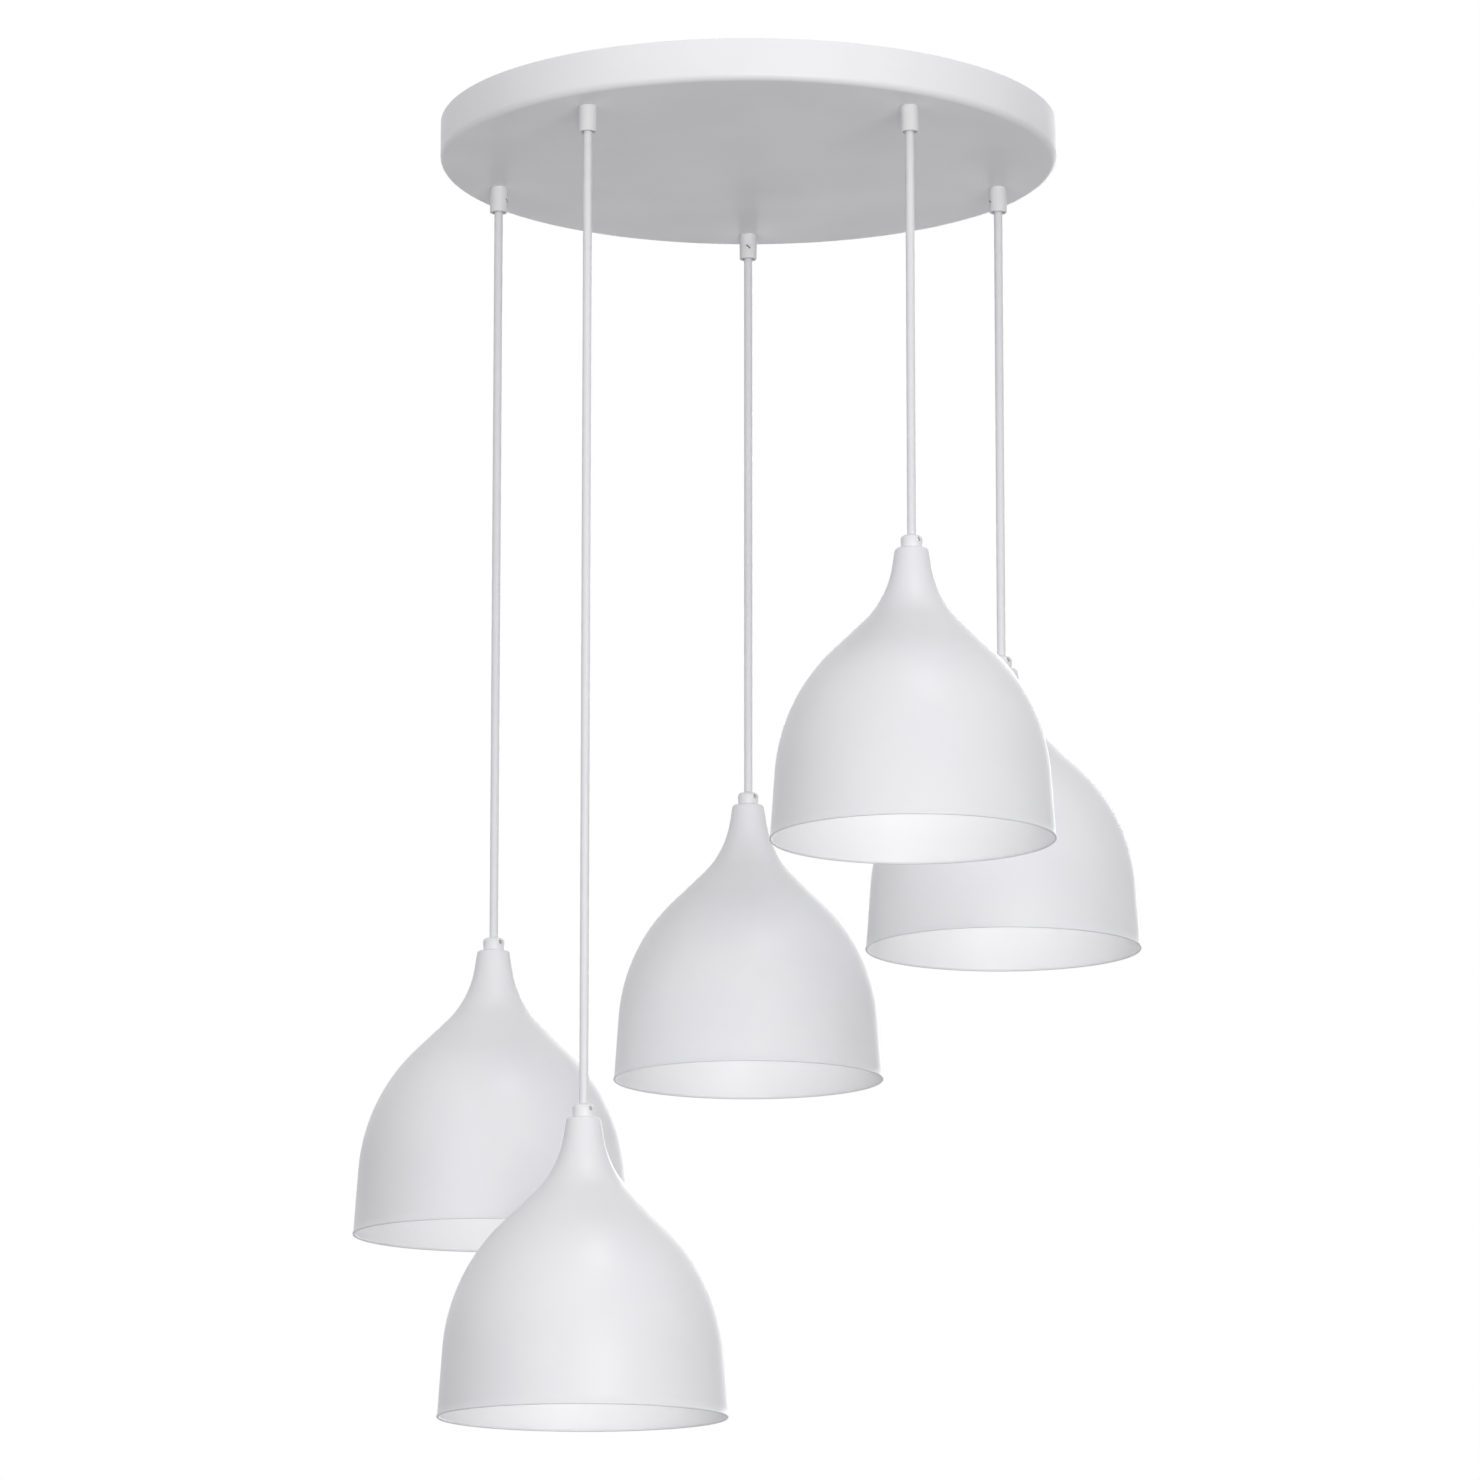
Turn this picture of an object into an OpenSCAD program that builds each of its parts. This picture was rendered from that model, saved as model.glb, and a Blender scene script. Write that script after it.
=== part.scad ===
// Cluster pendant light: a round ceiling canopy with five bell shades on cords of different length.
// Millimetres, +Z up. The origin is the centre of the canopy's open top, in the ceiling's plane.

/* [Canopy] */
// Outside diameter of the canopy
canopy_d = 450; // [430:5:480]
// Height of the canopy, from the ceiling to its underside
canopy_h = 30; // [29:1:40]
// Sheet thickness of the canopy
canopy_wall = 1; // [0.8:0.1:1.4]
// Outside radius of the canopy's lower edge
canopy_edge_r = 5; // [3:0.5:8]
// Distance from the canopy's edge in to the line of each cord
ring_inset = 31; // [26:1:40]

/* [Cords] */
// Diameter of the round cord
cord_d = 6.2; // [5.6:0.1:6.4]
// Free cord of the left pendant, from its grip to its collar
cord_a_len = 543; // [300:1:900]
// Free cord of the front left pendant
cord_b_len = 695; // [300:1:900]
// Free cord of the back pendant
cord_c_len = 411; // [200:1:900]
// Free cord of the front right pendant
cord_d_len = 293; // [150:1:900]
// Free cord of the right pendant
cord_e_len = 335; // [150:1:900]
// Centre radius of the bend that a cord makes above its grip
tail_bend_r = 11; // [9:0.5:12]

/* [Cord grips] */
// Diameter of a grip where it meets the canopy
grip_d = 13.2; // [12.2:0.2:15]
// Diameter of a grip at its lower end
grip_tip_d = 12.8; // [11.6:0.2:13.2]
// Height of a grip below the canopy
grip_h = 19; // [16:1:26]
// Radius of the roundings at both ends of a grip
grip_edge_r = 0.6; // [0.4:0.1:0.8]
// Width of the lip that a grip leaves round its mouth
mouth_lip = 1.2; // [1:0.1:1.6]
// Depth of the recess in a grip's mouth
mouth_depth = 2; // [1:0.5:4]
// Height of a grip's set screw below the canopy
grip_screw_drop = 10.5; // [7:0.5:12]
// Diameter of a grip's set screw
grip_screw_d = 4; // [3:0.5:5]
// Diameter of the hollow thread of the grips and the pendant tubes
thread_d = 10; // [9.5:0.5:10]

/* [Shades] */
// Diameter of a shade at its rim
shade_d = 200; // [190:2:210]
// Height of a shade
shade_h = 207; // [195:1:225]
// Sheet thickness of a shade
shade_wall = 1; // [0.8:0.1:1.4]
// Diameter of a shade's neck, just under its top edge
neck_d = 24; // [22:0.5:28]
// Depth of the straight neck
neck_h = 13; // [8:1:18]
// Slope of the neck from the vertical, in degrees
neck_taper = 9; // [4:1:12]
// Radius of the hollow flare under the neck
flare_r = 70; // [60:2:80]
// Steepest slope of the side from the vertical, in degrees
flank_angle = 46; // [42:1:48]
// Length of the straight flank between the flare and the shoulder
flank_len = 30; // [20:1:40]
// Slope of the lip from the vertical, in degrees
lip_angle = 4; // [2:0.5:6]
// Radius of the edge round a shade's flat top
top_edge_r = 2; // [1.6:0.1:3]
// Thickness of the bead that is rolled at the rim
rim_bead_d = 1.8; // [1.4:0.1:2.4]
// How far the bead stands out of a shade's side
rim_bead_out = 0.5; // [0.3:0.1:0.6]

/* [Collars] */
// Diameter of the collar on a shade
collar_d = 16; // [14:0.5:17]
// How far the collar's side draws in towards its foot
collar_taper = 0.6; // [0.2:0.1:1]
// Height of the collar
collar_h = 9.5; // [8.5:0.5:12]
// Radius of the collar's rounded top edge
collar_edge_r = 3; // [1.5:0.1:3.4]
// Height of the undercut between the collar and the shade
collar_undercut = 0.8; // [0.5:0.1:1]
// Height of the collar's set screw above the shade
collar_screw_h = 6; // [5.5:0.1:6.5]
// Diameter of the collar's set screw
collar_screw_d = 3; // [2:0.5:3]

/* [Lamp holders] */
// Diameter of a lamp holder
holder_d = 38; // [35:0.5:40]
// Depth of the lamp holder's top below the shade's top
holder_drop = 38; // [36:1:50]
// Height of the holder's cap
holder_cap_h = 16; // [15:1:20]
// Height of the holder's skirt
holder_skirt_h = 43; // [38:1:48]
// Inside diameter of the screw shell that takes the lamp cap
socket_d = 26.6; // [26.5:0.1:27]
// Length of the screw shell
socket_l = 22; // [18:1:26]

/* [Bracket] */
// Width of the ceiling bracket
bracket_w = 30; // [24:1:40]
// Sheet thickness of the bracket
bracket_t = 2; // [1.5:0.1:2.5]
// Height of the bracket's side flanges
flange_h = 6; // [4:0.5:9]
// Distance between the centres of the two ceiling slots
slot_spacing = 90; // [60:5:150]
// Length of a ceiling slot, end to end
slot_l = 24; // [14:1:40]
// Width of a ceiling slot
slot_w = 5.5; // [4.5:0.1:7]
// Depth of the canopy's side screws below the ceiling
side_screw_drop = 12; // [11:0.5:14]
// Diameter of the canopy's side screws and its weld studs
stud_d = 4; // [4:0.5:5]

/* [Terminal box] */
// Diameter of the terminal box
box_d = 66; // [62:1:80]
// Wall thickness of the terminal box
box_wall = 1.6; // [1.2:0.1:2.4]
// Width of one pole of the terminal block
pole_w = 9; // [8:0.5:10]
// Height of the terminal block
block_h = 12; // [10:0.5:14]

/* [Fits] */
// Gap all round between the cord and what it passes through
cord_play = 0.2; // [0.1:0.05:0.4]
// Gap all round between a thread and its nut or tapped hole
thread_play = 0.05; // [0.02:0.01:0.1]
// Gap all round between a thread and its clearance hole
hole_play = 0.2; // [0.1:0.05:0.4]

/* [Hidden] */
LETTERS = ["a", "b", "c", "d", "e"];
PENDANT_KINDS = ["cord_grip", "cord", "collar", "fasteners", "threaded_tube", "shade",
    "holder_cap", "holder_skirt", "holder_contacts"];

// Facets of the round surfaces on screen
$fn = 72;
// Overlap that makes a cut run clear of a face
OVER = 1;

// Directions of the pendants a to e round the canopy, the back one on +Y
ANGLES = [162, 234, 90, 306, 18];
CORD_LENS = [cord_a_len, cord_b_len, cord_c_len, cord_d_len, cord_e_len];

// Sizes of common hardware, from the thread that each goes on
function nut_af(d) = d > 6 ? 1.4 * d : 1.75 * d;
function nut_t(d) = d > 6 ? 0.3 * d : 0.8 * d;
washer_t = 0.8;
washer_r = 0.8 * thread_d;
thread_end = 0.7;
// Gap that keeps a washer and its nut two pieces
STACK_GAP = 0.04;
// Gap between the tip of a set screw and the cord that it holds
TIP_GAP = 0.1;

canopy_r = canopy_d / 2;
ring_r = canopy_r - ring_inset;
canopy_floor_z = -canopy_h + canopy_wall;
thread_r = thread_d / 2;
cord_r = cord_d / 2;
cord_bore_r = cord_r + cord_play;

// Levels of the grips and of the cord that runs through them
grip_base_z = -canopy_h;
grip_mouth_z = grip_base_z - grip_h;
pivot_z = grip_mouth_z + mouth_depth;
grip_nut_z = canopy_floor_z + washer_t + STACK_GAP;
shank_top_z = grip_nut_z + nut_t(thread_d) + thread_end;
tail_z = shank_top_z + tail_bend_r;

// Levels of a pendant, measured down from the top of its shade
function shade_top_z(i) = grip_mouth_z - CORD_LENS[i] - collar_h;
tube_top = 4;
tube_in_cap = 7;
holder_boss_h = 3;
shade_washer_drop = shade_wall + washer_t;
shade_nut_drop = shade_washer_drop + STACK_GAP + nut_t(thread_d);
holder_skirt_drop = holder_drop + holder_cap_h;
holder_boss_r = thread_r + 4;
holder_wall = 2;
skirt_edge = 1;
floor_drop = holder_skirt_drop + 10;
floor_t = 3;
rivet_x = 8.5;
rivet_r = 1.5;
shell_t = 0.5;
shell_gap = 0.2;
shell_drop = floor_drop + 2;
contact_t = 0.8;
contact_r = 5;
// Direction that the collars' set screws face, the same on all five
COLLAR_SCREW_TURN = -50;
// Turn of the slots in the set screws of the grips and the collars, from upright
GRIP_SLOT_TURN = 50;
COLLAR_SLOT_TURN = 40;

// Levels and radii in the canopy
box_r = box_d / 2;
box_floor_z = canopy_floor_z + box_wall;
box_head = 1.4;
box_top_z = tail_z + cord_bore_r + box_head;
box_stud_r = 20;
lid_rim_h = 1.2;
tail_reach = 3;
earth_stud_r = 62;
stud_len = box_wall + nut_t(stud_d) + thread_end;
supply_hole_r = 6;
lead_r = 1.2;
lead_sleeve_r = 1.7;
lead_z = canopy_floor_z + 3;
tag_t = 0.8;
tag_r = 4.6;
tag_neck = 2;

// Terminal block: its depth, its towers, its bores for the brass tubes, the tubes and their screws
block_d = 16;
tower_r = 3.4;
pole_tube_r = 2.8;
pole_tube_wall = 0.8;
pole_tube_l = 14;
pole_tube_z = 0.4 * block_h;
pole_screw_r = 1.5;
pole_screw_sink = 1.4;

// Levels and places on the bracket
web_z = -bracket_t;
side_screw_z = -side_screw_drop;
side_screw_sink = 0.4;
side_screw_tip = 1.5;
weld_nut_corner_r = nut_af(stud_d) / sqrt(3);
weld_nut_outer_x = sqrt(pow(canopy_r - canopy_wall, 2) - pow(weld_nut_corner_r, 2)) - STACK_GAP;
weld_nut_inner_x = weld_nut_outer_x - nut_t(stud_d);
ear_gap = 2;
ear_outer_x = weld_nut_inner_x - ear_gap;
ear_w = 20;
ear_bottom_z = side_screw_z - stud_d;
flange_start_x = box_r + 6;
flange_end_x = ear_outer_x - 12;

// Rings and sides of the plain tube that stands for a free cord
CORD_RINGS = 15;
CORD_SIDES = 10;

// Heading of a profile point: 0 is straight down, 90 straight out. A point is [radius, drop, heading].
function arc_points(p, h1, r, n) =
    let (h0 = p[2], turn = sign(h1 - h0))
    [for (k = [1:n]) let (h = h0 + (h1 - h0) * k / n)
        [p[0] + turn * r * (cos(h0) - cos(h)), p[1] + turn * r * (sin(h) - sin(h0)), h]];
function ahead(p, len) = [p[0] + len * sin(p[2]), p[1] + len * cos(p[2]), p[2]];
function last(points) = points[len(points) - 1];
function inside(p, wall) = [p[0] - wall * cos(p[2]), p[1] + wall * sin(p[2]), p[2]];
function reversed(points) = [for (k = [len(points) - 1:-1:0]) points[k]];
function flat(points) = [for (p = points) [p[0], -p[1]]];

// Outer curve of the bell, from its flat top to the middle of its rim's bead. The shoulder's
// radius and the lip's length are what makes the curve end there.
function bell_curve() =
    let (
        top = [neck_d / 2 - top_edge_r * cos(neck_taper), 0, 90],
        edge = arc_points(top, neck_taper, top_edge_r, 5),
        neck = ahead(last(edge), (neck_h - last(edge)[1]) / cos(neck_taper)),
        flare = arc_points(neck, flank_angle, flare_r, 9),
        flank = ahead(last(flare), flank_len),
        rim = [shade_d / 2 - rim_bead_out, shade_h - rim_bead_d / 2, lip_angle],
        out_left = rim[0] - flank[0],
        down_left = rim[1] - flank[1],
        arc_out = cos(lip_angle) - cos(flank_angle),
        arc_down = sin(flank_angle) - sin(lip_angle),
        det = arc_out * cos(lip_angle) - sin(lip_angle) * arc_down,
        shoulder_r = (out_left * cos(lip_angle) - sin(lip_angle) * down_left) / det,
        shoulder = arc_points(flank, lip_angle, shoulder_r, 12)
    )
    concat([top], edge, [neck], flare, [flank], shoulder, [rim]);

// Outer curve of the canopy, from its open top to the middle of its underside
function pan_curve() =
    let (
        rim = [canopy_r, 0, 0],
        wall_end = [canopy_r, canopy_h - canopy_edge_r, 0]
    )
    concat([rim, wall_end], arc_points(wall_end, -90, canopy_edge_r, 6), [[0, canopy_h, -90]]);

// Side of a grip, from the canopy to its lip
function grip_curve() =
    let (
        side = -atan((grip_d - grip_tip_d) / 2 / grip_h),
        top = [grip_d / 2 - grip_edge_r, 0, 90],
        edge = arc_points(top, side, grip_edge_r, 4),
        side_end = grip_h - grip_edge_r * (1 + sin(side)),
        barrel = ahead(last(edge), (side_end - last(edge)[1]) / cos(side))
    )
    concat([top], edge, [barrel], arc_points(barrel, -90, grip_edge_r, 4));

// Straight route of a free cord, from the grip's mouth to the tube in the collar
function cord_route(i) =
    let (end_z = shade_top_z(i) + tube_top)
    [for (k = [0:CORD_RINGS - 1])
        [ring_r * cos(ANGLES[i]), ring_r * sin(ANGLES[i]),
            pivot_z + (end_z - pivot_z) * k / (CORD_RINGS - 1)]];

// Tube of the given radius round a route that runs straight down
module plumb_tube(route, r, sides) {
    rings = len(route);
    points = [for (p = route, k = [0:sides - 1])
        [p[0] + r * cos(360 * k / sides), p[1] + r * sin(360 * k / sides), p[2]]];
    walls = [for (j = [0:rings - 2], k = [0:sides - 1])
        let (a = j * sides + k, b = j * sides + (k + 1) % sides)
        [a, b, b + sides, a + sides]];
    first_cap = [for (k = [sides - 1:-1:0]) k];
    last_cap = [for (k = [0:sides - 1]) (rings - 1) * sides + k];
    polyhedron(points, concat([first_cap], walls, [last_cap]));
}

// Plain ring, r1 inside and r2 outside, standing on z = 0
module ring(r1, r2, h) {
    difference() {
        cylinder(r = r2, h = h);
        translate([0, 0, -OVER]) cylinder(r = r1, h = h + 2 * OVER);
    }
}

// Hexagon nut for the thread d, standing on z = 0
module hex_nut(d) {
    difference() {
        cylinder(r = nut_af(d) / sqrt(3), h = nut_t(d), $fn = 6);
        translate([0, 0, -OVER]) cylinder(r = d / 2 + thread_play, h = nut_t(d) + 2 * OVER);
    }
}

// Headless slotted screw along +X, its slotted end face at x = 0 and its tip at x = -len
module set_screw(d, len, slot_turn) {
    slot_w = 0.2 * d;
    chamfer = 0.1 * d;
    rotate([slot_turn, 0, 0]) rotate([0, -90, 0]) difference() {
        rotate_extrude() polygon([[0, 0], [d / 2 - chamfer, 0], [d / 2, chamfer],
            [d / 2, len - chamfer], [d / 2 - chamfer, len], [0, len]]);
        translate([-d, -slot_w / 2, -OVER]) cube([2 * d, slot_w, OVER + 0.25 * d]);
    }
}

// Moves its children to the line of pendant i
module at_pendant(i) {
    rotate([0, 0, ANGLES[i]]) translate([ring_r, 0, 0]) children();
}

// Pressed steel pan with a hole for each grip and each side screw
module canopy() {
    outer = pan_curve();
    inner = [for (p = outer) inside(p, canopy_wall)];
    color("white") difference() {
        rotate_extrude() polygon(flat(concat(outer, reversed(inner))));
        for (i = [0:4]) at_pendant(i) translate([0, 0, -canopy_h - OVER])
            cylinder(r = thread_r + hole_play, h = canopy_wall + 2 * OVER);
        for (side = [0, 180]) rotate([0, 0, side]) translate([canopy_r - canopy_wall - OVER, 0, side_screw_z])
            rotate([0, 90, 0]) cylinder(r = stud_d / 2 + hole_play, h = canopy_wall + 2 * OVER);
    }
}

// Folded steel strip that is screwed to the ceiling: flanges stiffen both arms, up to the terminal
// box in the middle, and an ear at each end takes a side screw of the canopy
module mounting_bracket() {
    color("silver") difference() {
        union() {
            translate([-ear_outer_x, -bracket_w / 2, web_z]) cube([2 * ear_outer_x, bracket_w, bracket_t]);
            for (side = [0, 180]) rotate([0, 0, side]) {
                for (edge = [-bracket_w / 2, bracket_w / 2 - bracket_t])
                    translate([flange_start_x, edge, -flange_h])
                        cube([flange_end_x - flange_start_x, bracket_t, flange_h]);
                translate([ear_outer_x - bracket_t, -ear_w / 2, ear_bottom_z])
                    cube([bracket_t, ear_w, -ear_bottom_z]);
            }
        }
        for (side = [-1, 1]) translate([side * slot_spacing / 2, 0, 0]) slot_cut();
        translate([0, 0, web_z - OVER]) cylinder(r = supply_hole_r, h = bracket_t + 2 * OVER);
        for (side = [0, 180]) rotate([0, 0, side])
            translate([ear_outer_x - bracket_t - OVER, 0, side_screw_z]) rotate([0, 90, 0])
                cylinder(r = stud_d / 2 + hole_play, h = bracket_t + 2 * OVER);
    }
}

// Cutter of one ceiling slot, along X
module slot_cut() {
    reach = (slot_l - slot_w) / 2;
    depth = bracket_t + 2 * OVER;
    for (end = [-1, 1]) translate([end * reach, 0, web_z - OVER]) cylinder(r = slot_w / 2, h = depth);
    translate([-reach, -slot_w / 2, web_z - OVER]) cube([2 * reach, slot_w, depth]);
}

// The two headless screws that hold the canopy on the bracket, flush with the canopy's wall
module canopy_screws() {
    head_x = canopy_r - side_screw_sink;
    tip_x = ear_outer_x - bracket_t - side_screw_tip;
    color("gainsboro") for (side = [0, 180]) rotate([0, 0, side]) translate([head_x, 0, side_screw_z])
        set_screw(stud_d, head_x - tip_x, 0);
}

// Hexagon nuts welded inside the canopy's wall for the side screws
module canopy_weld_nuts() {
    color("silver") for (side = [0, 180]) rotate([0, 0, side]) translate([weld_nut_inner_x, 0, side_screw_z])
        rotate([0, 90, 0]) hex_nut(stud_d);
}

// Studs welded to the canopy's floor: two for the terminal box and one for the earth lead
module canopy_weld_studs() {
    color("silver") for (p = [[0, box_stud_r], [0, -box_stud_r], [0, -earth_stud_r]])
        translate([p[0], p[1], canopy_floor_z]) cylinder(r = stud_d / 2, h = stud_len);
}

// Nuts on the three weld studs
module stud_nuts() {
    color("goldenrod") {
        for (side = [-1, 1]) translate([0, side * box_stud_r, box_floor_z]) hex_nut(stud_d);
        translate([0, -earth_stud_r, canopy_floor_z + tag_t]) hex_nut(stud_d);
    }
}

// Washer and nut that clamp each grip's shank to the canopy's floor
module grip_nuts() {
    color("silver") for (i = [0:4]) at_pendant(i) {
        translate([0, 0, canopy_floor_z]) ring(thread_r + hole_play, washer_r, washer_t);
        translate([0, 0, grip_nut_z]) hex_nut(thread_d);
    }
}

// Slotted set screw of each grip, on the side that faces the canopy's middle
module grip_screws() {
    grip_r = grip_tip_d / 2 + (grip_d - grip_tip_d) / 2 * (1 - grip_screw_drop / grip_h);
    color("white") for (i = [0:4]) at_pendant(i) translate([-grip_r, 0, grip_base_z - grip_screw_drop])
        rotate([0, 0, 180]) set_screw(grip_screw_d, grip_r - cord_r - TIP_GAP, GRIP_SLOT_TURN);
}

// Cord between a grip's mouth and the terminal box: up through the grip, over a bend and inward
module cord_tails() {
    run = ring_r - tail_bend_r - box_r + box_wall + tail_reach;
    color("whitesmoke") for (i = [0:4]) at_pendant(i) {
        translate([0, 0, pivot_z]) cylinder(r = cord_r, h = shank_top_z - pivot_z);
        translate([-tail_bend_r, 0, shank_top_z]) rotate([90, 0, 0])
            rotate_extrude(angle = 90) translate([tail_bend_r, 0]) circle(r = cord_r);
        translate([-tail_bend_r, 0, tail_z]) rotate([0, -90, 0]) cylinder(r = cord_r, h = run);
    }
}

// Round box on the canopy's floor in which the five cords are joined to the supply
module terminal_box() {
    color("white") difference() {
        translate([0, 0, canopy_floor_z]) cylinder(r = box_r, h = box_top_z - canopy_floor_z);
        translate([0, 0, box_floor_z]) cylinder(r = box_r - box_wall, h = box_top_z - box_floor_z + OVER);
        for (a = ANGLES) rotate([0, 0, a]) translate([box_r - box_wall - OVER, 0, tail_z])
            rotate([0, 90, 0]) cylinder(r = cord_bore_r, h = box_wall + 2 * OVER);
        for (side = [-1, 1]) translate([0, side * box_stud_r, canopy_floor_z - OVER])
            cylinder(r = stud_d / 2 + hole_play, h = box_wall + 2 * OVER);
        translate([0, -box_r + box_wall + OVER, lead_z]) rotate([90, 0, 0])
            cylinder(r = lead_r + cord_play, h = box_wall + 2 * OVER);
    }
}

// Lid of the terminal box, with a locating rim and a hole for the supply
module terminal_lid() {
    rim_r = box_r - box_wall - hole_play;
    color("white") translate([0, 0, box_top_z]) difference() {
        union() {
            cylinder(r = box_r, h = box_wall);
            translate([0, 0, -lid_rim_h]) ring(rim_r - box_wall, rim_r, lid_rim_h);
        }
        translate([0, 0, -OVER]) cylinder(r = supply_hole_r, h = box_wall + 2 * OVER);
    }
}

// Three-pole terminal block on the box's floor: bores for the cores and wells for the screws
module terminal_block() {
    color("ghostwhite") translate([0, 0, box_floor_z]) difference() {
        union() {
            translate([-1.5 * pole_w, -block_d / 2, 0]) cube([3 * pole_w, block_d, 0.75 * block_h]);
            for (pole = [-1:1], end = [-1, 1]) translate([pole * pole_w, end * block_d / 4, 0])
                cylinder(r = tower_r, h = block_h);
        }
        for (pole = [-1:1]) {
            translate([pole * pole_w, block_d / 2 + OVER, pole_tube_z]) rotate([90, 0, 0])
                cylinder(r = pole_tube_r + hole_play, h = block_d + 2 * OVER);
            for (end = [-1, 1]) translate([pole * pole_w, end * block_d / 4, pole_tube_z])
                cylinder(r = pole_screw_r + hole_play, h = block_h);
        }
    }
}

// Brass tube of each pole, with its two clamping screws
module terminal_metal() {
    screw_base = pole_tube_r + TIP_GAP;
    screw_top = block_h - pole_tube_z - pole_screw_sink;
    color("gold") translate([0, 0, box_floor_z + pole_tube_z]) for (pole = [-1:1]) {
        translate([pole * pole_w, pole_tube_l / 2, 0]) rotate([90, 0, 0])
            ring(pole_tube_r - pole_tube_wall, pole_tube_r, pole_tube_l);
        for (end = [-1, 1]) translate([pole * pole_w, end * block_d / 4, screw_base])
            cylinder(r = pole_screw_r, h = screw_top - screw_base);
    }
}

// Earth lead: a ring tag under the earth stud's nut, with its sleeve, and the core to the box
module earth_lead() {
    sleeve_l = 7;
    start_y = -earth_stud_r + tag_r + 1;
    core_y = start_y + sleeve_l;
    end_y = -box_r + box_wall + tail_reach;
    color("yellowgreen") {
        translate([0, -earth_stud_r, canopy_floor_z]) ring(stud_d / 2 + hole_play, tag_r, tag_t);
        translate([-tag_neck / 2, start_y - tag_neck, canopy_floor_z])
            cube([tag_neck, tag_neck + 0.5, lead_z - canopy_floor_z]);
        translate([0, start_y, lead_z]) rotate([-90, 0, 0]) cylinder(r = lead_sleeve_r, h = sleeve_l);
        translate([0, core_y, lead_z]) rotate([-90, 0, 0]) cylinder(r = lead_r, h = end_y - core_y);
    }
}

// Moulded nylon grip: a barrel below the canopy with a recessed mouth, a threaded shank through it
module cord_grip(i) {
    mouth_r = grip_tip_d / 2 - mouth_lip;
    shank_h = shank_top_z - grip_base_z;
    recess = grip_h - mouth_depth;
    shank = [[cord_bore_r, -shank_h], [thread_r, -shank_h], [thread_r, 0]];
    mouth = [[mouth_r, grip_h], [mouth_r, recess], [cord_bore_r, recess]];
    color("white") at_pendant(i) translate([0, 0, grip_base_z]) difference() {
        rotate_extrude() polygon(flat(concat(shank, grip_curve(), mouth)));
        translate([-grip_d / 2 - OVER, 0, -grip_screw_drop]) rotate([0, 90, 0])
            cylinder(r = grip_screw_d / 2 + thread_play, h = grip_d / 2 + OVER);
    }
}

// Free cord between its grip and its collar
module cord(i) {
    color("whitesmoke") plumb_tube(cord_route(i), cord_r, CORD_SIDES);
}

// Turned collar on the shade's top, tapped for the tube, with a domed edge and an undercut foot
module collar(i) {
    r = collar_d / 2;
    foot_r = r - collar_taper;
    bore_r = thread_r + thread_play;
    crown = [r - collar_edge_r, -collar_h, 90];
    edge = arc_points(crown, 0, collar_edge_r, 6);
    foot = [[foot_r, -collar_undercut], [foot_r - collar_undercut / 2, -collar_undercut],
        [foot_r - collar_undercut / 2, 0], [bore_r, 0]];
    bore = [[bore_r, -tube_top], [cord_bore_r, -tube_top], [cord_bore_r, -collar_h]];
    color("white") at_pendant(i) translate([0, 0, shade_top_z(i)]) difference() {
        rotate_extrude() polygon(flat(concat([crown], edge, foot, bore)));
        translate([0, 0, collar_screw_h]) rotate([0, 90, COLLAR_SCREW_TURN - ANGLES[i]])
            cylinder(r = collar_screw_d / 2 + thread_play, h = r + OVER);
    }
}

// Fasteners of a shade: the collar's set screw, and the washer and nut inside the neck
module fasteners(i) {
    screw_end = collar_d / 2 - 0.3;
    color("gainsboro") at_pendant(i) translate([0, 0, shade_top_z(i)]) {
        rotate([0, 0, COLLAR_SCREW_TURN - ANGLES[i]]) translate([screw_end, 0, collar_screw_h])
            set_screw(collar_screw_d, screw_end - cord_r - TIP_GAP, COLLAR_SLOT_TURN);
        translate([0, 0, -shade_washer_drop]) ring(thread_r + hole_play, washer_r, washer_t);
        translate([0, 0, -shade_nut_drop]) hex_nut(thread_d);
    }
}

// Hollow threaded tube from the collar down to the lamp holder
module threaded_tube(i) {
    tube_end = holder_drop + tube_in_cap;
    color("silver") at_pendant(i) translate([0, 0, shade_top_z(i) - tube_end])
        ring(cord_bore_r + 0.2, thread_r, tube_end + tube_top);
}

// Spun steel bell with a bead rolled at its rim
module shade(i) {
    outer = bell_curve();
    inner_run = [for (k = [0:len(outer) - 2]) inside(outer[k], shade_wall)];
    inner_rim = [last(outer)[0] - shade_wall / cos(lip_angle), last(outer)[1], lip_angle];
    hole_r = thread_r + hole_play;
    bead_r = rim_bead_d / 2;
    color("white") at_pendant(i) translate([0, 0, shade_top_z(i)]) {
        rotate_extrude() polygon(flat(concat([[hole_r, 0]], outer, [inner_rim], reversed(inner_run),
            [[hole_r, shade_wall]])));
        rotate_extrude() translate([shade_d / 2 - bead_r, -shade_h + bead_r]) circle(r = bead_r);
    }
}

// Cap of the lamp holder: a threaded boss and a domed top over the terminals
module holder_cap(i) {
    r = holder_d / 2;
    bore_r = thread_r + thread_play;
    bore_end = tube_in_cap + 1;
    dome_h = holder_cap_h - holder_boss_h - 2;
    dome_heading = 2 * atan((r - holder_boss_r) / dome_h);
    dome_start = [holder_boss_r, holder_boss_h, dome_heading];
    dome = concat([dome_start], arc_points(dome_start, 0, dome_h / sin(dome_heading), 7));
    boss = [[bore_r, 0], [holder_boss_r - 1, 0], [holder_boss_r, 1]];
    lower_edge = [[r, holder_cap_h], [r - holder_wall, holder_cap_h]];
    inner_dome = reversed([for (p = dome) inside(p, holder_wall)]);
    inner_boss = [[holder_boss_r - holder_wall, bore_end], [bore_r, bore_end]];
    color("ghostwhite") at_pendant(i) translate([0, 0, shade_top_z(i) - holder_drop]) rotate_extrude()
        polygon(flat(concat(boss, dome, lower_edge, inner_dome, inner_boss)));
}

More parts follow.
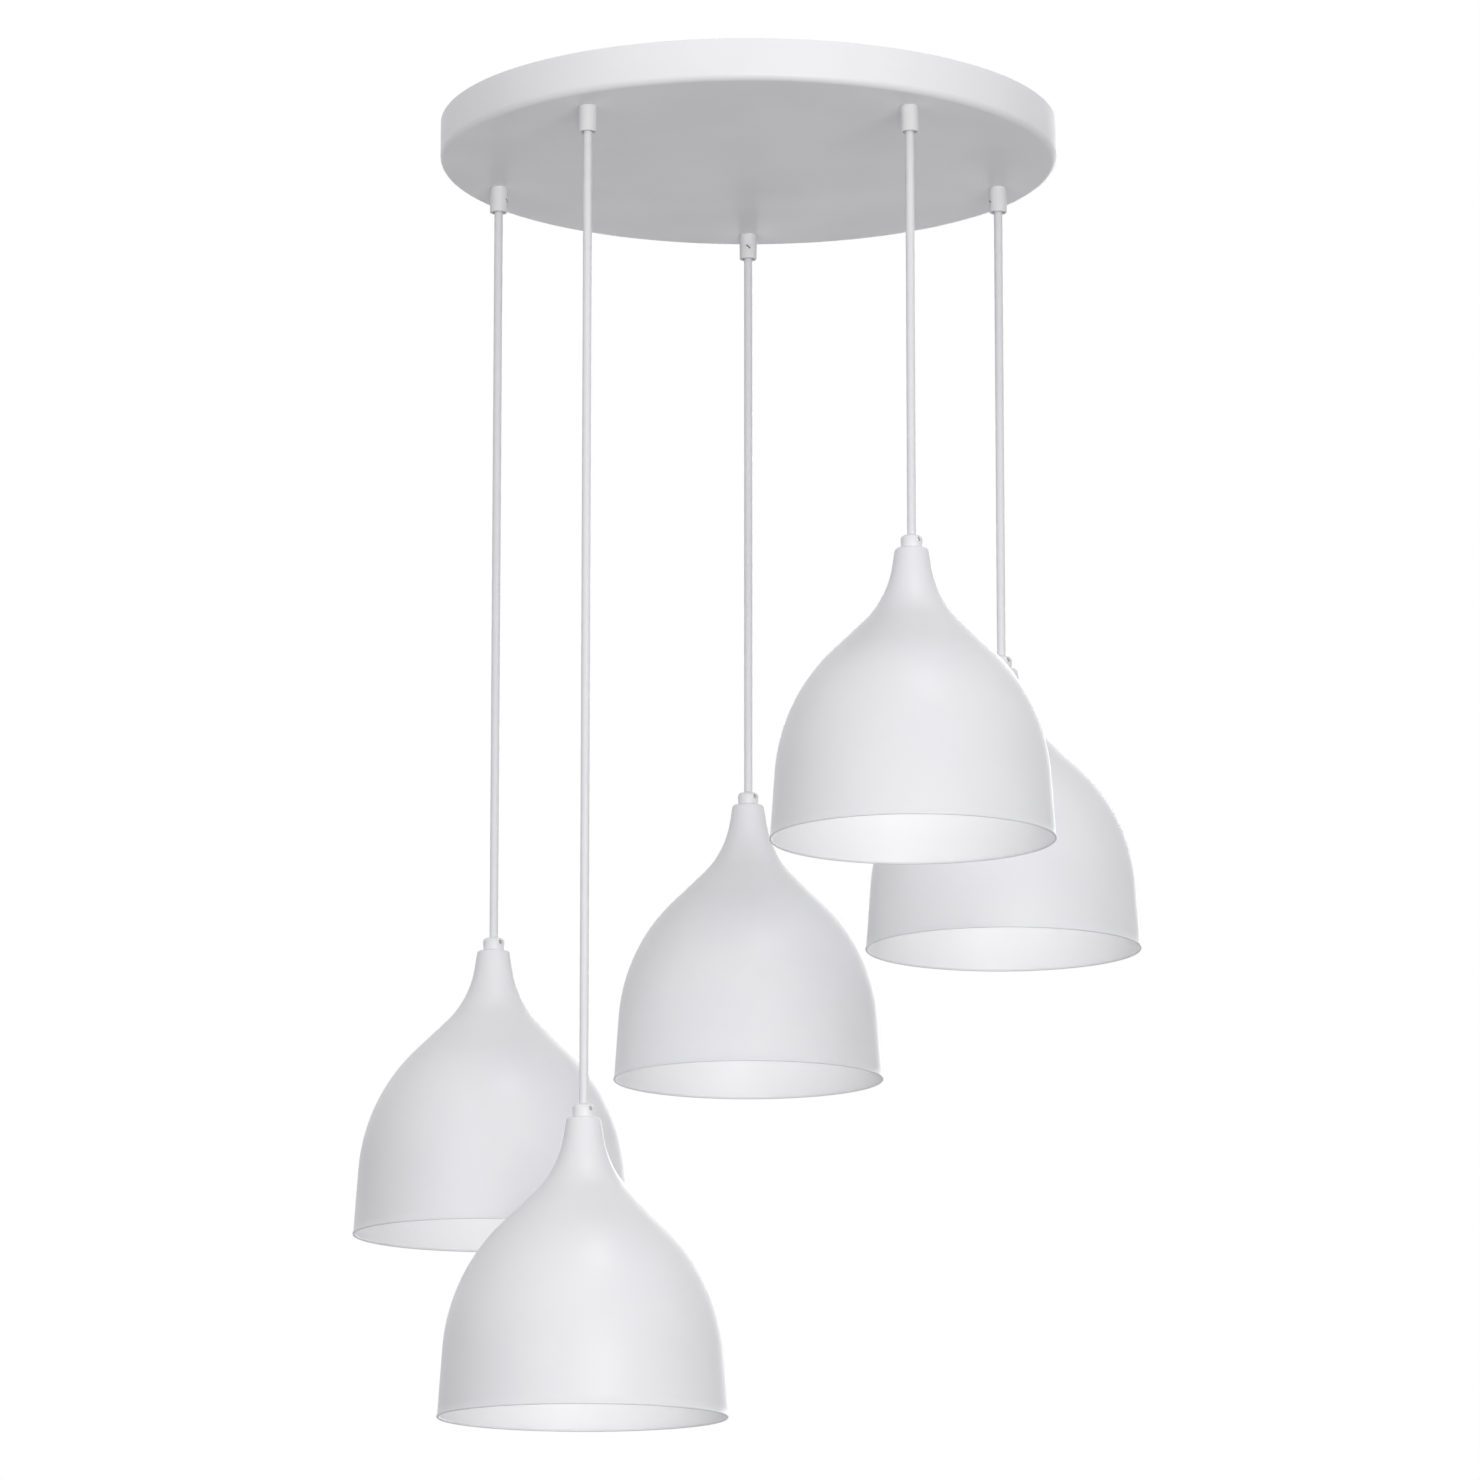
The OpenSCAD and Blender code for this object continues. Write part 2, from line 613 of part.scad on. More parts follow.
// Skirt of the lamp holder: a thick tube with a floor across it, open at the bottom for the lamp
module holder_skirt(i) {
    r = holder_d / 2;
    bore_r = socket_d / 2 + shell_t + shell_gap;
    bore_edge = skirt_edge / 2;
    floor_bottom = floor_drop - holder_skirt_drop;
    color("ghostwhite") at_pendant(i) translate([0, 0, shade_top_z(i) - holder_skirt_drop]) difference() {
        rotate_extrude() polygon(flat([[0, floor_bottom - floor_t], [r - holder_wall, floor_bottom - floor_t],
            [r - holder_wall, 0], [r, 0], [r, holder_skirt_h - skirt_edge], [r - skirt_edge, holder_skirt_h],
            [bore_r + bore_edge, holder_skirt_h], [bore_r, holder_skirt_h - bore_edge],
            [bore_r, floor_bottom], [0, floor_bottom]]));
        for (side = [-1, 1]) translate([side * rivet_x, 0, -floor_bottom - OVER])
            cylinder(r = rivet_r + thread_play, h = floor_t + 2 * OVER);
    }
}

// Metal inside the lamp holder: the screw shell, the middle contact and two riveted terminals
module holder_contacts(i) {
    shell_r = socket_d / 2;
    color("gold") at_pendant(i) translate([0, 0, shade_top_z(i)]) {
        translate([0, 0, -shell_drop - socket_l]) ring(shell_r, shell_r + shell_t, socket_l);
        translate([0, 0, -floor_drop - contact_t]) cylinder(r = contact_r, h = contact_t);
        for (side = [-1, 1]) translate([side * rivet_x, 0, -floor_drop]) {
            translate([0, 0, -contact_t]) cylinder(r = 2 * rivet_r, h = contact_t);
            cylinder(r = rivet_r, h = floor_t);
            translate([0, 0, floor_t]) cylinder(r = 2 * rivet_r, h = 2);
        }
    }
}

canopy();
mounting_bracket();
canopy_screws();
canopy_weld_nuts();
canopy_weld_studs();
stud_nuts();
grip_nuts();
grip_screws();
cord_tails();
terminal_box();
terminal_lid();
terminal_block();
terminal_metal();
earth_lead();
for (i = [0:4]) {
    cord_grip(i);
    cord(i);
    collar(i);
    fasteners(i);
    threaded_tube(i);
    shade(i);
    holder_cap(i);
    holder_skirt(i);
    holder_contacts(i);
}
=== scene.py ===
import math

import bmesh
import bpy
from mathutils import Matrix, Vector


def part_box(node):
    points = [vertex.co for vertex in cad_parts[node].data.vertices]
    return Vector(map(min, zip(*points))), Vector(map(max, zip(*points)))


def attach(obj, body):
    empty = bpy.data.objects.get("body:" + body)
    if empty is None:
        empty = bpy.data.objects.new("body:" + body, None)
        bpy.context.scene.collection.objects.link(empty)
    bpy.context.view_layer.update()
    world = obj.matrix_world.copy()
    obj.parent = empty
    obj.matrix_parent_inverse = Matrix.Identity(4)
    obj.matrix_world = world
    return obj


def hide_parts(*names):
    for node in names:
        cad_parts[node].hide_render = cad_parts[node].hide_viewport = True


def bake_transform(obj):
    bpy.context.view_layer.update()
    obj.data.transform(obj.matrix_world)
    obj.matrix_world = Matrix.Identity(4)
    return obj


# Cluster pendant light: five white bell shades on round cords under a round ceiling canopy.
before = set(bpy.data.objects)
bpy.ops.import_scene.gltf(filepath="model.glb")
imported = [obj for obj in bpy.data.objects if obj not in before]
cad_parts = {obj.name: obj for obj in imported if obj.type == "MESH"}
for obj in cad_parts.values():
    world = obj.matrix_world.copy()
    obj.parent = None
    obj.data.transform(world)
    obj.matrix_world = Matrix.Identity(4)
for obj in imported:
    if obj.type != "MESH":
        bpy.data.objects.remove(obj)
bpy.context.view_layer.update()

# Viewpoint
# The photograph looks up at the light from far in front of it, from below the lowest shade,
# with a long lens and no shift.
VIEWPOINT = (-0.0062, -5.0, -1.428)
VIEW_RISE = math.radians(10.986)
FILM_WIDTH = 36
LENS_LENGTH = 172.19
camera = bpy.data.objects.new("camera", bpy.data.cameras.new("camera"))
bpy.context.collection.objects.link(camera)
camera.data.sensor_width = FILM_WIDTH
camera.data.lens = LENS_LENGTH
camera.location = VIEWPOINT
camera.rotation_euler = (math.radians(90) + VIEW_RISE, 0, 0)
bpy.context.scene.camera = camera
bpy.context.scene.view_settings.view_transform = "Standard"

# Free cords
# Round three-core cord with a smooth white PVC sheath. Each hangs straight from the mouth of its
# grip to the threaded tube in its collar, and the twisted cores show as a faint ripple.
MM = 0.001
LETTERS = "abcde"
CORD_SIDES = 32
CORD_RING_GAP = 2.5 * MM
CORD_TOP_RINGS = 9
CORES = 3
CORE_LAY = 0.055
CORE_RIPPLE = 0.03 * MM
SHEATH_WHITE = (0.8, 0.8, 0.81, 1)
SHEATH_SHADOW = (0.76, 0.76, 0.77, 1)
PIT_DEPTH = 0.02 * MM
ON_AXIS = 1e-7
SHARP_ANGLE = math.radians(35)
# The random number of a piece moves its patterns by so much along each axis.
OWN_START = (0.9, 0.4, 3)


def turned(name, outline, place=(0, 0, 0), sides=96, closed=True, ripple=None, lining=()):
    """Piece turned from (radius, height) points round the upright line through place.
    ripple changes the radius, and the steps of the outline in lining get the second material."""
    bm = bmesh.new()
    rings = []
    for radius, height in outline:
        if radius < ON_AXIS:
            rings.append([bm.verts.new((0, 0, height))])
            continue
        ring = []
        for k in range(sides):
            angle = 2 * math.pi * k / sides
            r = radius + (ripple(angle, radius, height) if ripple else 0)
            ring.append(bm.verts.new((r * math.cos(angle), r * math.sin(angle), height)))
        rings.append(ring)
    neighbours = list(zip(rings, rings[1:] + rings[:1]))
    if not closed:
        neighbours.pop()
    for step, (one, other) in enumerate(neighbours):
        for k in range(sides):
            corners = [one[k % len(one)], other[k % len(other)],
                       other[(k + 1) % len(other)], one[(k + 1) % len(one)]]
            corners = list(dict.fromkeys(corners))
            if len(corners) > 2:
                bm.faces.new(corners).material_index = int(step in lining)
    return meshed(name, bm, place)


def meshed(name, bm, place=(0, 0, 0)):
    """Object of a finished bmesh, with its faces outward and smooth but for its sharp edges."""
    bmesh.ops.recalc_face_normals(bm, faces=bm.faces)
    mesh = bpy.data.meshes.new(name)
    bm.to_mesh(mesh)
    bm.free()
    piece = bpy.data.objects.new(name, mesh)
    piece.location = place
    bpy.context.collection.objects.link(piece)
    smooth(piece)
    return piece


def smooth(piece):
    """Smooth shading that leaves sharp edges sharp."""
    piece.data.shade_smooth()
    piece.data.set_sharp_from_angle(angle=SHARP_ANGLE)


def painted(piece, slot, *materials):
    """Gives a new piece its materials. The slot that it is given is not used."""
    while piece.data.materials:
        piece.data.materials.pop()
    for material in materials:
        piece.data.materials.append(material)


def middle(node):
    """Middle of a node's box in the row frame."""
    low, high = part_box(node)
    return (low + high) / 2


def new_material(name):
    """A material with its node tree and its Principled shader."""
    material = bpy.data.materials.new(name)
    material.use_nodes = True
    return material, material.node_tree, material.node_tree.nodes["Principled BSDF"]


def new_group(name, inputs, outputs):
    """A shader node group: inputs maps a label to (socket type, value), outputs one to its type."""
    group = bpy.data.node_groups.new(name, "ShaderNodeTree")
    for label, (kind, value) in inputs.items():
        socket = group.interface.new_socket(label, in_out="INPUT", socket_type=kind)
        if value is not None:
            socket.default_value = value
    for label, kind in outputs.items():
        group.interface.new_socket(label, in_out="OUTPUT", socket_type=kind)
    given = group.nodes.new("NodeGroupInput").outputs
    return group, given, group.nodes.new("NodeGroupOutput").inputs


def placed(tree, group, values):
    """A group's node in a material with its values. It lies on the piece's own coordinates, and
    each piece has a start of its own."""
    node = tree.nodes.new("ShaderNodeGroup")
    node.node_tree = group
    for label, value in values.items():
        node.inputs[label].default_value = value
    start = tree.nodes.new("ShaderNodeVectorMath")
    start.operation = "MULTIPLY_ADD"
    start.inputs[1].default_value = OWN_START
    tree.links.new(tree.nodes.new("ShaderNodeObjectInfo").outputs["Random"], start.inputs[0])
    tree.links.new(tree.nodes.new("ShaderNodeTexCoord").outputs["Object"], start.inputs[2])
    tree.links.new(start.outputs[0], node.inputs["Place"])
    return node.outputs


def feed(tree, value, socket):
    """Feeds a socket with another socket or with plain numbers."""
    if isinstance(value, bpy.types.NodeSocket):
        tree.links.new(value, socket)
    else:
        socket.default_value = value


def noise(tree, place, scale, detail=2.0):
    """Noise between 0 and 1 over place."""
    node = tree.nodes.new("ShaderNodeTexNoise")
    node.inputs["Detail"].default_value = detail
    tree.links.new(place, node.inputs["Vector"])
    feed(tree, scale, node.inputs["Scale"])
    return node.outputs["Fac"]


def stretched(tree, place, factors):
    """Place with each axis multiplied by its factor."""
    node = tree.nodes.new("ShaderNodeVectorMath")
    node.operation = "MULTIPLY"
    node.inputs[1].default_value = factors
    tree.links.new(place, node.inputs[0])
    return node.outputs[0]


def ranged(tree, value, low, high, start=0.3, end=0.7, kind="LINEAR"):
    """A value moved from the range between start and end to the one between low and high."""
    node = tree.nodes.new("ShaderNodeMapRange")
    node.interpolation_type = kind
    node.inputs["From Min"].default_value = start
    node.inputs["From Max"].default_value = end
    node.inputs["To Min"].default_value = low
    node.inputs["To Max"].default_value = high
    tree.links.new(value, node.inputs["Value"])
    return node.outputs[0]


def sum_of(tree, first, second, share):
    """first + second * share."""
    node = tree.nodes.new("ShaderNodeMath")
    node.operation = "MULTIPLY_ADD"
    node.inputs[1].default_value = share
    tree.links.new(second, node.inputs[0])
    tree.links.new(first, node.inputs[2])
    return node.outputs[0]


def tinted(tree, mask, color, other):
    """Mix from color to other by mask. Each colour is a socket or four numbers."""
    node = tree.nodes.new("ShaderNodeMix")
    node.data_type = "RGBA"
    tree.links.new(mask, node.inputs["Factor"])
    # The sockets 6, 7 and 2 are this node's two colours and its result.
    feed(tree, color, node.inputs[6])
    feed(tree, other, node.inputs[7])
    return node.outputs[2]


def bumped(tree, shader, height, depth):
    """Feeds height to the shader's normal, depth metres deep."""
    node = tree.nodes.new("ShaderNodeBump")
    node.inputs["Distance"].default_value = depth
    tree.links.new(height, node.inputs["Height"])
    tree.links.new(node.outputs["Normal"], shader.inputs["Normal"])


def finished(tree, shader, surface, depth=0.0, height=None):
    """Feeds a surface's colour and roughness to the shader and, with a depth, its relief, or the
    height that is given in its place."""
    tree.links.new(surface["Color"], shader.inputs["Base Color"])
    tree.links.new(surface["Roughness"], shader.inputs["Roughness"])
    if depth:
        bumped(tree, shader, surface["Height"] if height is None else height, depth)


def mottled_group():
    """Moulded or extruded plastic: cloudy tone, uneven gloss and fine pitting."""
    group, given, out = new_group(
        "mottled_plastic",
        {"Place": ("NodeSocketVector", None), "Tone": ("NodeSocketColor", SHEATH_WHITE),
         "Shadow tone": ("NodeSocketColor", SHEATH_WHITE), "Roughness": ("NodeSocketFloat", 0.4),
         "Grain": ("NodeSocketFloat", 900)},
        {"Color": "NodeSocketColor", "Roughness": "NodeSocketFloat", "Height": "NodeSocketFloat"})
    cloud = noise(group, given["Place"], scale=40, detail=3)
    pits = noise(group, given["Place"], given["Grain"])
    group.links.new(tinted(group, cloud, given["Tone"], given["Shadow tone"]), out["Color"])
    uneven = ranged(group, cloud, -0.5, 0.5)
    group.links.new(sum_of(group, given["Roughness"], uneven, share=0.08), out["Roughness"])
    group.links.new(sum_of(group, pits, cloud, share=0.6), out["Height"])
    return group


MOTTLED = mottled_group()


def plastic(name, tone, shadow_tone, roughness, grain=900, depth=PIT_DEPTH):
    """A plastic from the mottled group."""
    material, tree, shader = new_material(name)
    surface = placed(tree, MOTTLED, {"Tone": tone, "Shadow tone": shadow_tone,
                                     "Roughness": roughness, "Grain": grain})
    finished(tree, shader, surface, depth)
    return material


sheath = plastic("cord_sheath", SHEATH_WHITE, SHEATH_SHADOW, roughness=0.42, grain=700)


def core_ripple(angle, radius, height):
    """Low ridges that wind round the cord with the lay of its cores."""
    return CORE_RIPPLE * math.cos(CORES * (angle - 2 * math.pi * height / CORE_LAY))


for letter in LETTERS:
    low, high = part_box(f"cord_{letter}")
    x, y = middle(f"cord_{letter}").xy
    cord_r = (high.x - low.x) / 2
    length = high.z - low.z
    turns = [math.pi / 2 * k / CORD_TOP_RINGS for k in range(CORD_TOP_RINGS)]
    dome = [(cord_r * math.sin(turn), cord_r * math.cos(turn)) for turn in turns]
    rings = round(length / CORD_RING_GAP)
    side = [(cord_r, -length * k / rings) for k in range(rings + 1)]
    cord = turned(f"free_cord_{letter}", dome + side + [(0, -length)], (x, y, high.z), CORD_SIDES,
                  closed=False, ripple=core_ripple)
    painted(cord, "white_cord", sheath)
    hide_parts(f"cord_{letter}")
    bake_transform(cord)

# Studio
# A pale floor under the light and a white surround that only the camera and reflections see. Soft
# light comes from above and from a lamp high in front, which gives the floor its shadow. Three
# large lamps, two low in front and one behind, miss the floor and pass the bells.
WHITE = (1, 1, 1, 1)
FLOOR_Z = -1.6
FLOOR_R = 14
FLOOR_TONE = (0.39, 0.39, 0.395, 1)
FLOOR_SHADOW = (0.38, 0.38, 0.385, 1)
FLOOR_GLOW_NEAR = 0.62
FLOOR_GLOW_FAR = 0.85
GLOW_FROM = 1
GLOW_TO = 0.9 * FLOOR_R
LIGHT_ABOVE = 0.54
LIGHT_COLOR = (0.985, 0.985, 1, 1)
LAMP_DISTANCE = 4.5
LAMP_AIM = Vector((0, 0, -0.5))
# Of each lamp: its degrees round from the front, its degrees up, its width and its power.
BELL_LAMPS = {"key_lamp": (14, -10, 2.4, 91), "fill_lamp": (-30, -10, 2.4, 25),
              "back_lamp": (172, 17, 2.4, 48)}
ROOM_LAMPS = {"top_lamp": (20, 60, 1.2, 22)}


def combined(tree, operation, one, other):
    """One number from two."""
    node = tree.nodes.new("ShaderNodeMath")
    node.operation = operation
    tree.links.new(one, node.inputs[0])
    tree.links.new(other, node.inputs[1])
    return node.outputs[0]


def background_rays(tree):
    """1 for the rays that show the background, straight or in a gloss, 0 for those that light."""
    ray = tree.nodes.new("ShaderNodeLightPath").outputs
    gloss = combined(tree, "MAXIMUM", ray["Is Glossy Ray"], ray["Is Transmission Ray"])
    return combined(tree, "MAXIMUM", ray["Is Camera Ray"], gloss)


def switched(tree, choice, first, second, end):
    """Ends a tree in its first shader where choice is 0 and in its second where it is 1."""
    mix = tree.nodes.new("ShaderNodeMixShader")
    tree.links.new(choice, mix.inputs["Fac"])
    tree.links.new(first, mix.inputs[1])
    tree.links.new(second, mix.inputs[2])
    tree.links.new(mix.outputs[0], tree.nodes[end].inputs["Surface"])


def left_out(collection, piece):
    """Leaves a piece out of what the lamps of a collection do."""
    collection.objects.link(piece)
    collection.collection_objects[-1].light_linking.link_state = "EXCLUDE"


world = bpy.data.worlds.new("surround")
bpy.context.scene.world = world
world.use_nodes = True
sky = world.node_tree
shown = sky.nodes["Background"]
shown.inputs["Color"].default_value = WHITE
lighting = sky.nodes.new("ShaderNodeBackground")
lighting.inputs["Color"].default_value = LIGHT_COLOR
lighting.inputs["Strength"].default_value = LIGHT_ABOVE
switched(sky, background_rays(sky), lighting.outputs[0], shown.outputs[0], "World Output")

bm = bmesh.new()
bmesh.ops.create_circle(bm, cap_ends=True, segments=96, radius=FLOOR_R)
floor = meshed("floor", bm, (0, 0, FLOOR_Z))
pale, tree, shader = new_material("pale_floor")
shader.inputs["Specular IOR Level"].default_value = 0
shader.inputs["Emission Color"].default_value = WHITE
plaster = placed(tree, MOTTLED, {"Tone": FLOOR_TONE, "Shadow tone": FLOOR_SHADOW,
                                 "Roughness": 0.9, "Grain": 60})
finished(tree, shader, plaster)
distance = tree.nodes.new("ShaderNodeVectorMath")
distance.operation = "LENGTH"
tree.links.new(tree.nodes.new("ShaderNodeTexCoord").outputs["Object"], distance.inputs[0])
glow = ranged(tree, distance.outputs["Value"], FLOOR_GLOW_NEAR, FLOOR_GLOW_FAR,
              GLOW_FROM, GLOW_TO, "SMOOTHSTEP")
tree.links.new(combined(tree, "MULTIPLY", background_rays(tree), glow),
               shader.inputs["Emission Strength"])
from_below = tree.nodes.new("ShaderNodeNewGeometry").outputs["Backfacing"]
clear = tree.nodes.new("ShaderNodeBsdfTransparent")
switched(tree, from_below, shader.outputs[0], clear.outputs[0], "Material Output")
floor.data.materials.append(pale)

passed = bpy.data.collections.new("passed_by_the_lamps")
unlit = bpy.data.collections.new("left_out_by_the_lamps")
left_out(passed, floor)
left_out(unlit, floor)
for name, (bearing, rise, width, power) in (BELL_LAMPS | ROOM_LAMPS).items():
    lamp = bpy.data.objects.new(name, bpy.data.lights.new(name, "AREA"))
    lamp.data.energy = power
    lamp.data.size = width
    bearing, rise = math.radians(bearing), math.radians(rise)
    toward = Vector((math.sin(bearing) * math.cos(rise), -math.cos(bearing) * math.cos(rise),
                     math.sin(rise)))
    lamp.location = LAMP_AIM + LAMP_DISTANCE * toward
    lamp.rotation_euler = (-toward).to_track_quat("-Z", "Y").to_euler()
    if name in BELL_LAMPS:
        lamp.light_linking.receiver_collection = unlit
        lamp.light_linking.blocker_collection = passed
    bpy.context.collection.objects.link(lamp)

# Canopy
# A pan pressed from one millimetre steel sheet, powder coated white, open towards the ceiling.
# Five holes in its floor take the grips, and a hole at each end takes a side screw.
CANOPY_WALL = 1 * MM
CANOPY_EDGE_R = 5 * MM
RIM_EDGE = 0.3 * MM
GRIP_HOLE_R = 5.2 * MM
SIDE_HOLE_R = 2.2 * MM
DRILL_PAST = 2 * MM
DRILL_SIDES = 32
PAINT_WHITE = (0.83, 0.83, 0.845, 1)
PAINT_SHADOW = (0.8, 0.8, 0.82, 1)
# The canopy's coat is a whiter copy of the bells' coat; the extra white is painted light for the
# canopy's brighter-lit wall.
CANOPY_WHITE = (0.9, 0.9, 0.91, 1)
CANOPY_SHADOW = (0.87, 0.87, 0.885, 1)
DUST = (0.62, 0.61, 0.58, 1)
PEEL_DEPTH = 0.02 * MM


def rounded(corners, steps=5):
    """Closed outline through (radius, height, fillet) corners, each fillet an arc."""
    outline = []
    for k, (r, h, fillet) in enumerate(corners):
        corner = Vector((r, h))
        if fillet == 0:
            outline.append((r, h))
            continue
        before = (Vector(corners[k - 1][:2]) - corner).normalized()
        after = (Vector(corners[(k + 1) % len(corners)][:2]) - corner).normalized()
        half = before.angle(after) / 2
        centre = corner + (before + after).normalized() * fillet / math.sin(half)
        start = corner + before * fillet / math.tan(half) - centre
        turn = (corner + after * fillet / math.tan(half) - centre).angle_signed(start)
        for n in range(steps + 1):
            point = centre + Matrix.Rotation(turn * n / steps, 2) @ start
            outline.append((point.x, point.y))
    return outline


def rod(start, end, radius):
    """Plain round rod from start to end, to drill with."""
    start, end = Vector(start), Vector(end)
    bm = bmesh.new()
    turn = (end - start).to_track_quat("Z", "Y").to_matrix().to_4x4()
    bmesh.ops.create_cone(bm, cap_ends=True, segments=DRILL_SIDES, radius1=radius, radius2=radius,
                          depth=(end - start).length,
                          matrix=Matrix.Translation((start + end) / 2) @ turn)
    return meshed("drill", bm)


def cut(piece, tools):
    """Cuts the tools out of a piece, applies the result and deletes the tools."""
    for tool in tools:
        boolean = piece.modifiers.new("cut", "BOOLEAN")
        boolean.operation = "DIFFERENCE"
        boolean.solver = "EXACT"
        boolean.object = tool
    bpy.context.view_layer.update()
    depsgraph = bpy.context.evaluated_depsgraph_get()
    result = bpy.data.meshes.new_from_object(piece.evaluated_get(depsgraph))
    piece.modifiers.clear()
    piece.data = result
    for tool in tools:
        bpy.data.objects.remove(tool)
    smooth(piece)


def coat_group():
    """Powder coat: faintly cloudy white, orange peel, and a trace of dust on what faces up."""
    group, given, out = new_group(
        "powder_coat",
        {"Place": ("NodeSocketVector", None), "Paint": ("NodeSocketColor", PAINT_WHITE),
         "Shadow": ("NodeSocketColor", PAINT_SHADOW), "Roughness": ("NodeSocketFloat", 0.4),
         "Peel": ("NodeSocketFloat", 900)},
        {"Color": "NodeSocketColor", "Roughness": "NodeSocketFloat", "Height": "NodeSocketFloat"})
    cloud = noise(group, given["Place"], scale=14, detail=4)
    facing = group.nodes.new("ShaderNodeSeparateXYZ")
    group.links.new(group.nodes.new("ShaderNodeNewGeometry").outputs["Normal"], facing.inputs[0])
    upward = ranged(group, facing.outputs["Z"], 0, 0.22, start=0.6, end=1)
    speckle = noise(group, given["Place"], scale=220, detail=3)
    dust = combined(group, "MULTIPLY", upward, speckle)
    coat = tinted(group, ranged(group, cloud, 0, 1), given["Paint"], given["Shadow"])
    group.links.new(tinted(group, dust, coat, DUST), out["Color"])
    uneven = ranged(group, cloud, -0.5, 0.5)
    rough = sum_of(group, given["Roughness"], uneven, share=0.06)
    group.links.new(sum_of(group, rough, dust, share=0.4), out["Roughness"])
    group.links.new(noise(group, given["Place"], given["Peel"], detail=1), out["Height"])
    return group


POWDER_COAT = coat_group()


def coated(name, paint, shadow, roughness, peel=900, depth=PEEL_DEPTH):
    """A powder coat from the coat group."""
    material, tree, shader = new_material(name)
    coat = placed(tree, POWDER_COAT, {"Paint": paint, "Shadow": shadow,
                                      "Roughness": roughness, "Peel": peel})
    finished(tree, shader, coat, depth)
    return material


# Its whiter paint is partly painted light on the canopy.
canopy_coat = coated("canopy_coat", CANOPY_WHITE, CANOPY_SHADOW, roughness=0.42)

low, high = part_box("canopy")
canopy_r = (high.x - low.x) / 2
underside_z = low.z
floor_z = underside_z + CANOPY_WALL
inner_r = canopy_r - CANOPY_WALL
canopy = turned("canopy_pan", rounded([
    (canopy_r, high.z, RIM_EDGE), (canopy_r, underside_z, CANOPY_EDGE_R), (0, underside_z, 0),
    (0, floor_z, 0), (inner_r, floor_z, CANOPY_EDGE_R - CANOPY_WALL), (inner_r, high.z, RIM_EDGE)],
    steps=8), sides=256)
drills = []
for letter in LETTERS:
    x, y = middle(f"cord_{letter}").xy
    drills.append(rod((x, y, underside_z - DRILL_PAST), (x, y, floor_z + DRILL_PAST), GRIP_HOLE_R))
screw_z = middle("canopy_screws").z
for side in (-1, 1):
    drills.append(rod((side * (inner_r - DRILL_PAST), 0, screw_z),
                      (side * (canopy_r + DRILL_PAST), 0, screw_z), SIDE_HOLE_R))
cut(canopy, drills)
painted(canopy, "canopy_white", canopy_coat)
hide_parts("canopy")
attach(canopy, "canopy")

# Bracket and fixings
# A folded strip of zinc-plated steel on the ceiling, with the side screws that hold the canopy,
# their nuts and the studs welded inside the canopy, and the plated nuts that clamp the grips.
ZINC = (0.6, 0.61, 0.63, 1)
ZINC_DARK = (0.53, 0.54, 0.565, 1)
STEEL = (0.62, 0.61, 0.6, 1)
STEEL_DARK = (0.5, 0.49, 0.48, 1)
BRASS = (0.86, 0.68, 0.38, 1)
BRASS_DARK = (0.78, 0.6, 0.31, 1)
SCRATCH_DEPTH = 0.008 * MM
WELD_REACH = 0.001 * MM
NODE_EDGE = 0.2 * MM


def metal_group():
    """Plated or drawn metal: blotchy tone, fine scratches along one axis and uneven gloss."""
    group, given, out = new_group(
        "worked_metal",
        {"Place": ("NodeSocketVector", None), "Tone": ("NodeSocketColor", ZINC),
         "Dark tone": ("NodeSocketColor", ZINC_DARK), "Roughness": ("NodeSocketFloat", 0.35)},
        {"Color": "NodeSocketColor", "Roughness": "NodeSocketFloat", "Height": "NodeSocketFloat"})
    blotch = noise(group, given["Place"], scale=160, detail=6)
    drawn = stretched(group, given["Place"], factors=(90, 2400, 2400))
    scratch = noise(group, drawn, scale=1, detail=4)
    group.links.new(tinted(group, ranged(group, blotch, 0, 1), given["Tone"], given["Dark tone"]),
                    out["Color"])
    rough = sum_of(group, given["Roughness"], ranged(group, blotch, -0.5, 0.5), share=0.12)
    rough = sum_of(group, rough, ranged(group, scratch, -0.5, 0.5), share=0.1)
    group.links.new(rough, out["Roughness"])
    group.links.new(sum_of(group, scratch, blotch, share=0.5), out["Height"])
    return group


WORKED_METAL = metal_group()


def metal(name, tone, dark_tone, roughness):
    """A metal from the worked metal group."""
    material, tree, shader = new_material(name)
    shader.inputs["Metallic"].default_value = 1
    surface = placed(tree, WORKED_METAL, {"Tone": tone, "Dark tone": dark_tone,
                                          "Roughness": roughness})
    finished(tree, shader, surface, SCRATCH_DEPTH)
    return material


def kept(node, material, edge=NODE_EDGE):
    """A node that keeps its own shape: a better material and rounded edges."""
    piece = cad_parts[node]
    for socket in piece.material_slots:
        socket.material = material
    weld = piece.modifiers.new("weld", "WELD")
    weld.merge_threshold = WELD_REACH
    bevel = piece.modifiers.new("edges", "BEVEL")
    bevel.width = edge
    bevel.segments = 2
    bevel.limit_method = "ANGLE"
    bevel.angle_limit = SHARP_ANGLE
    bevel.harden_normals = True


zinc = metal("zinc_plate", ZINC, ZINC_DARK, roughness=0.38)
steel = metal("screw_steel", STEEL, STEEL_DARK, roughness=0.3)
brass = metal("turned_brass", BRASS, BRASS_DARK, roughness=0.28)
for node in ("mounting_bracket", "canopy_weld_nuts", "canopy_weld_studs", "grip_nuts"):
    kept(node, zinc)
kept("canopy_screws", steel)
kept("stud_nuts", brass)

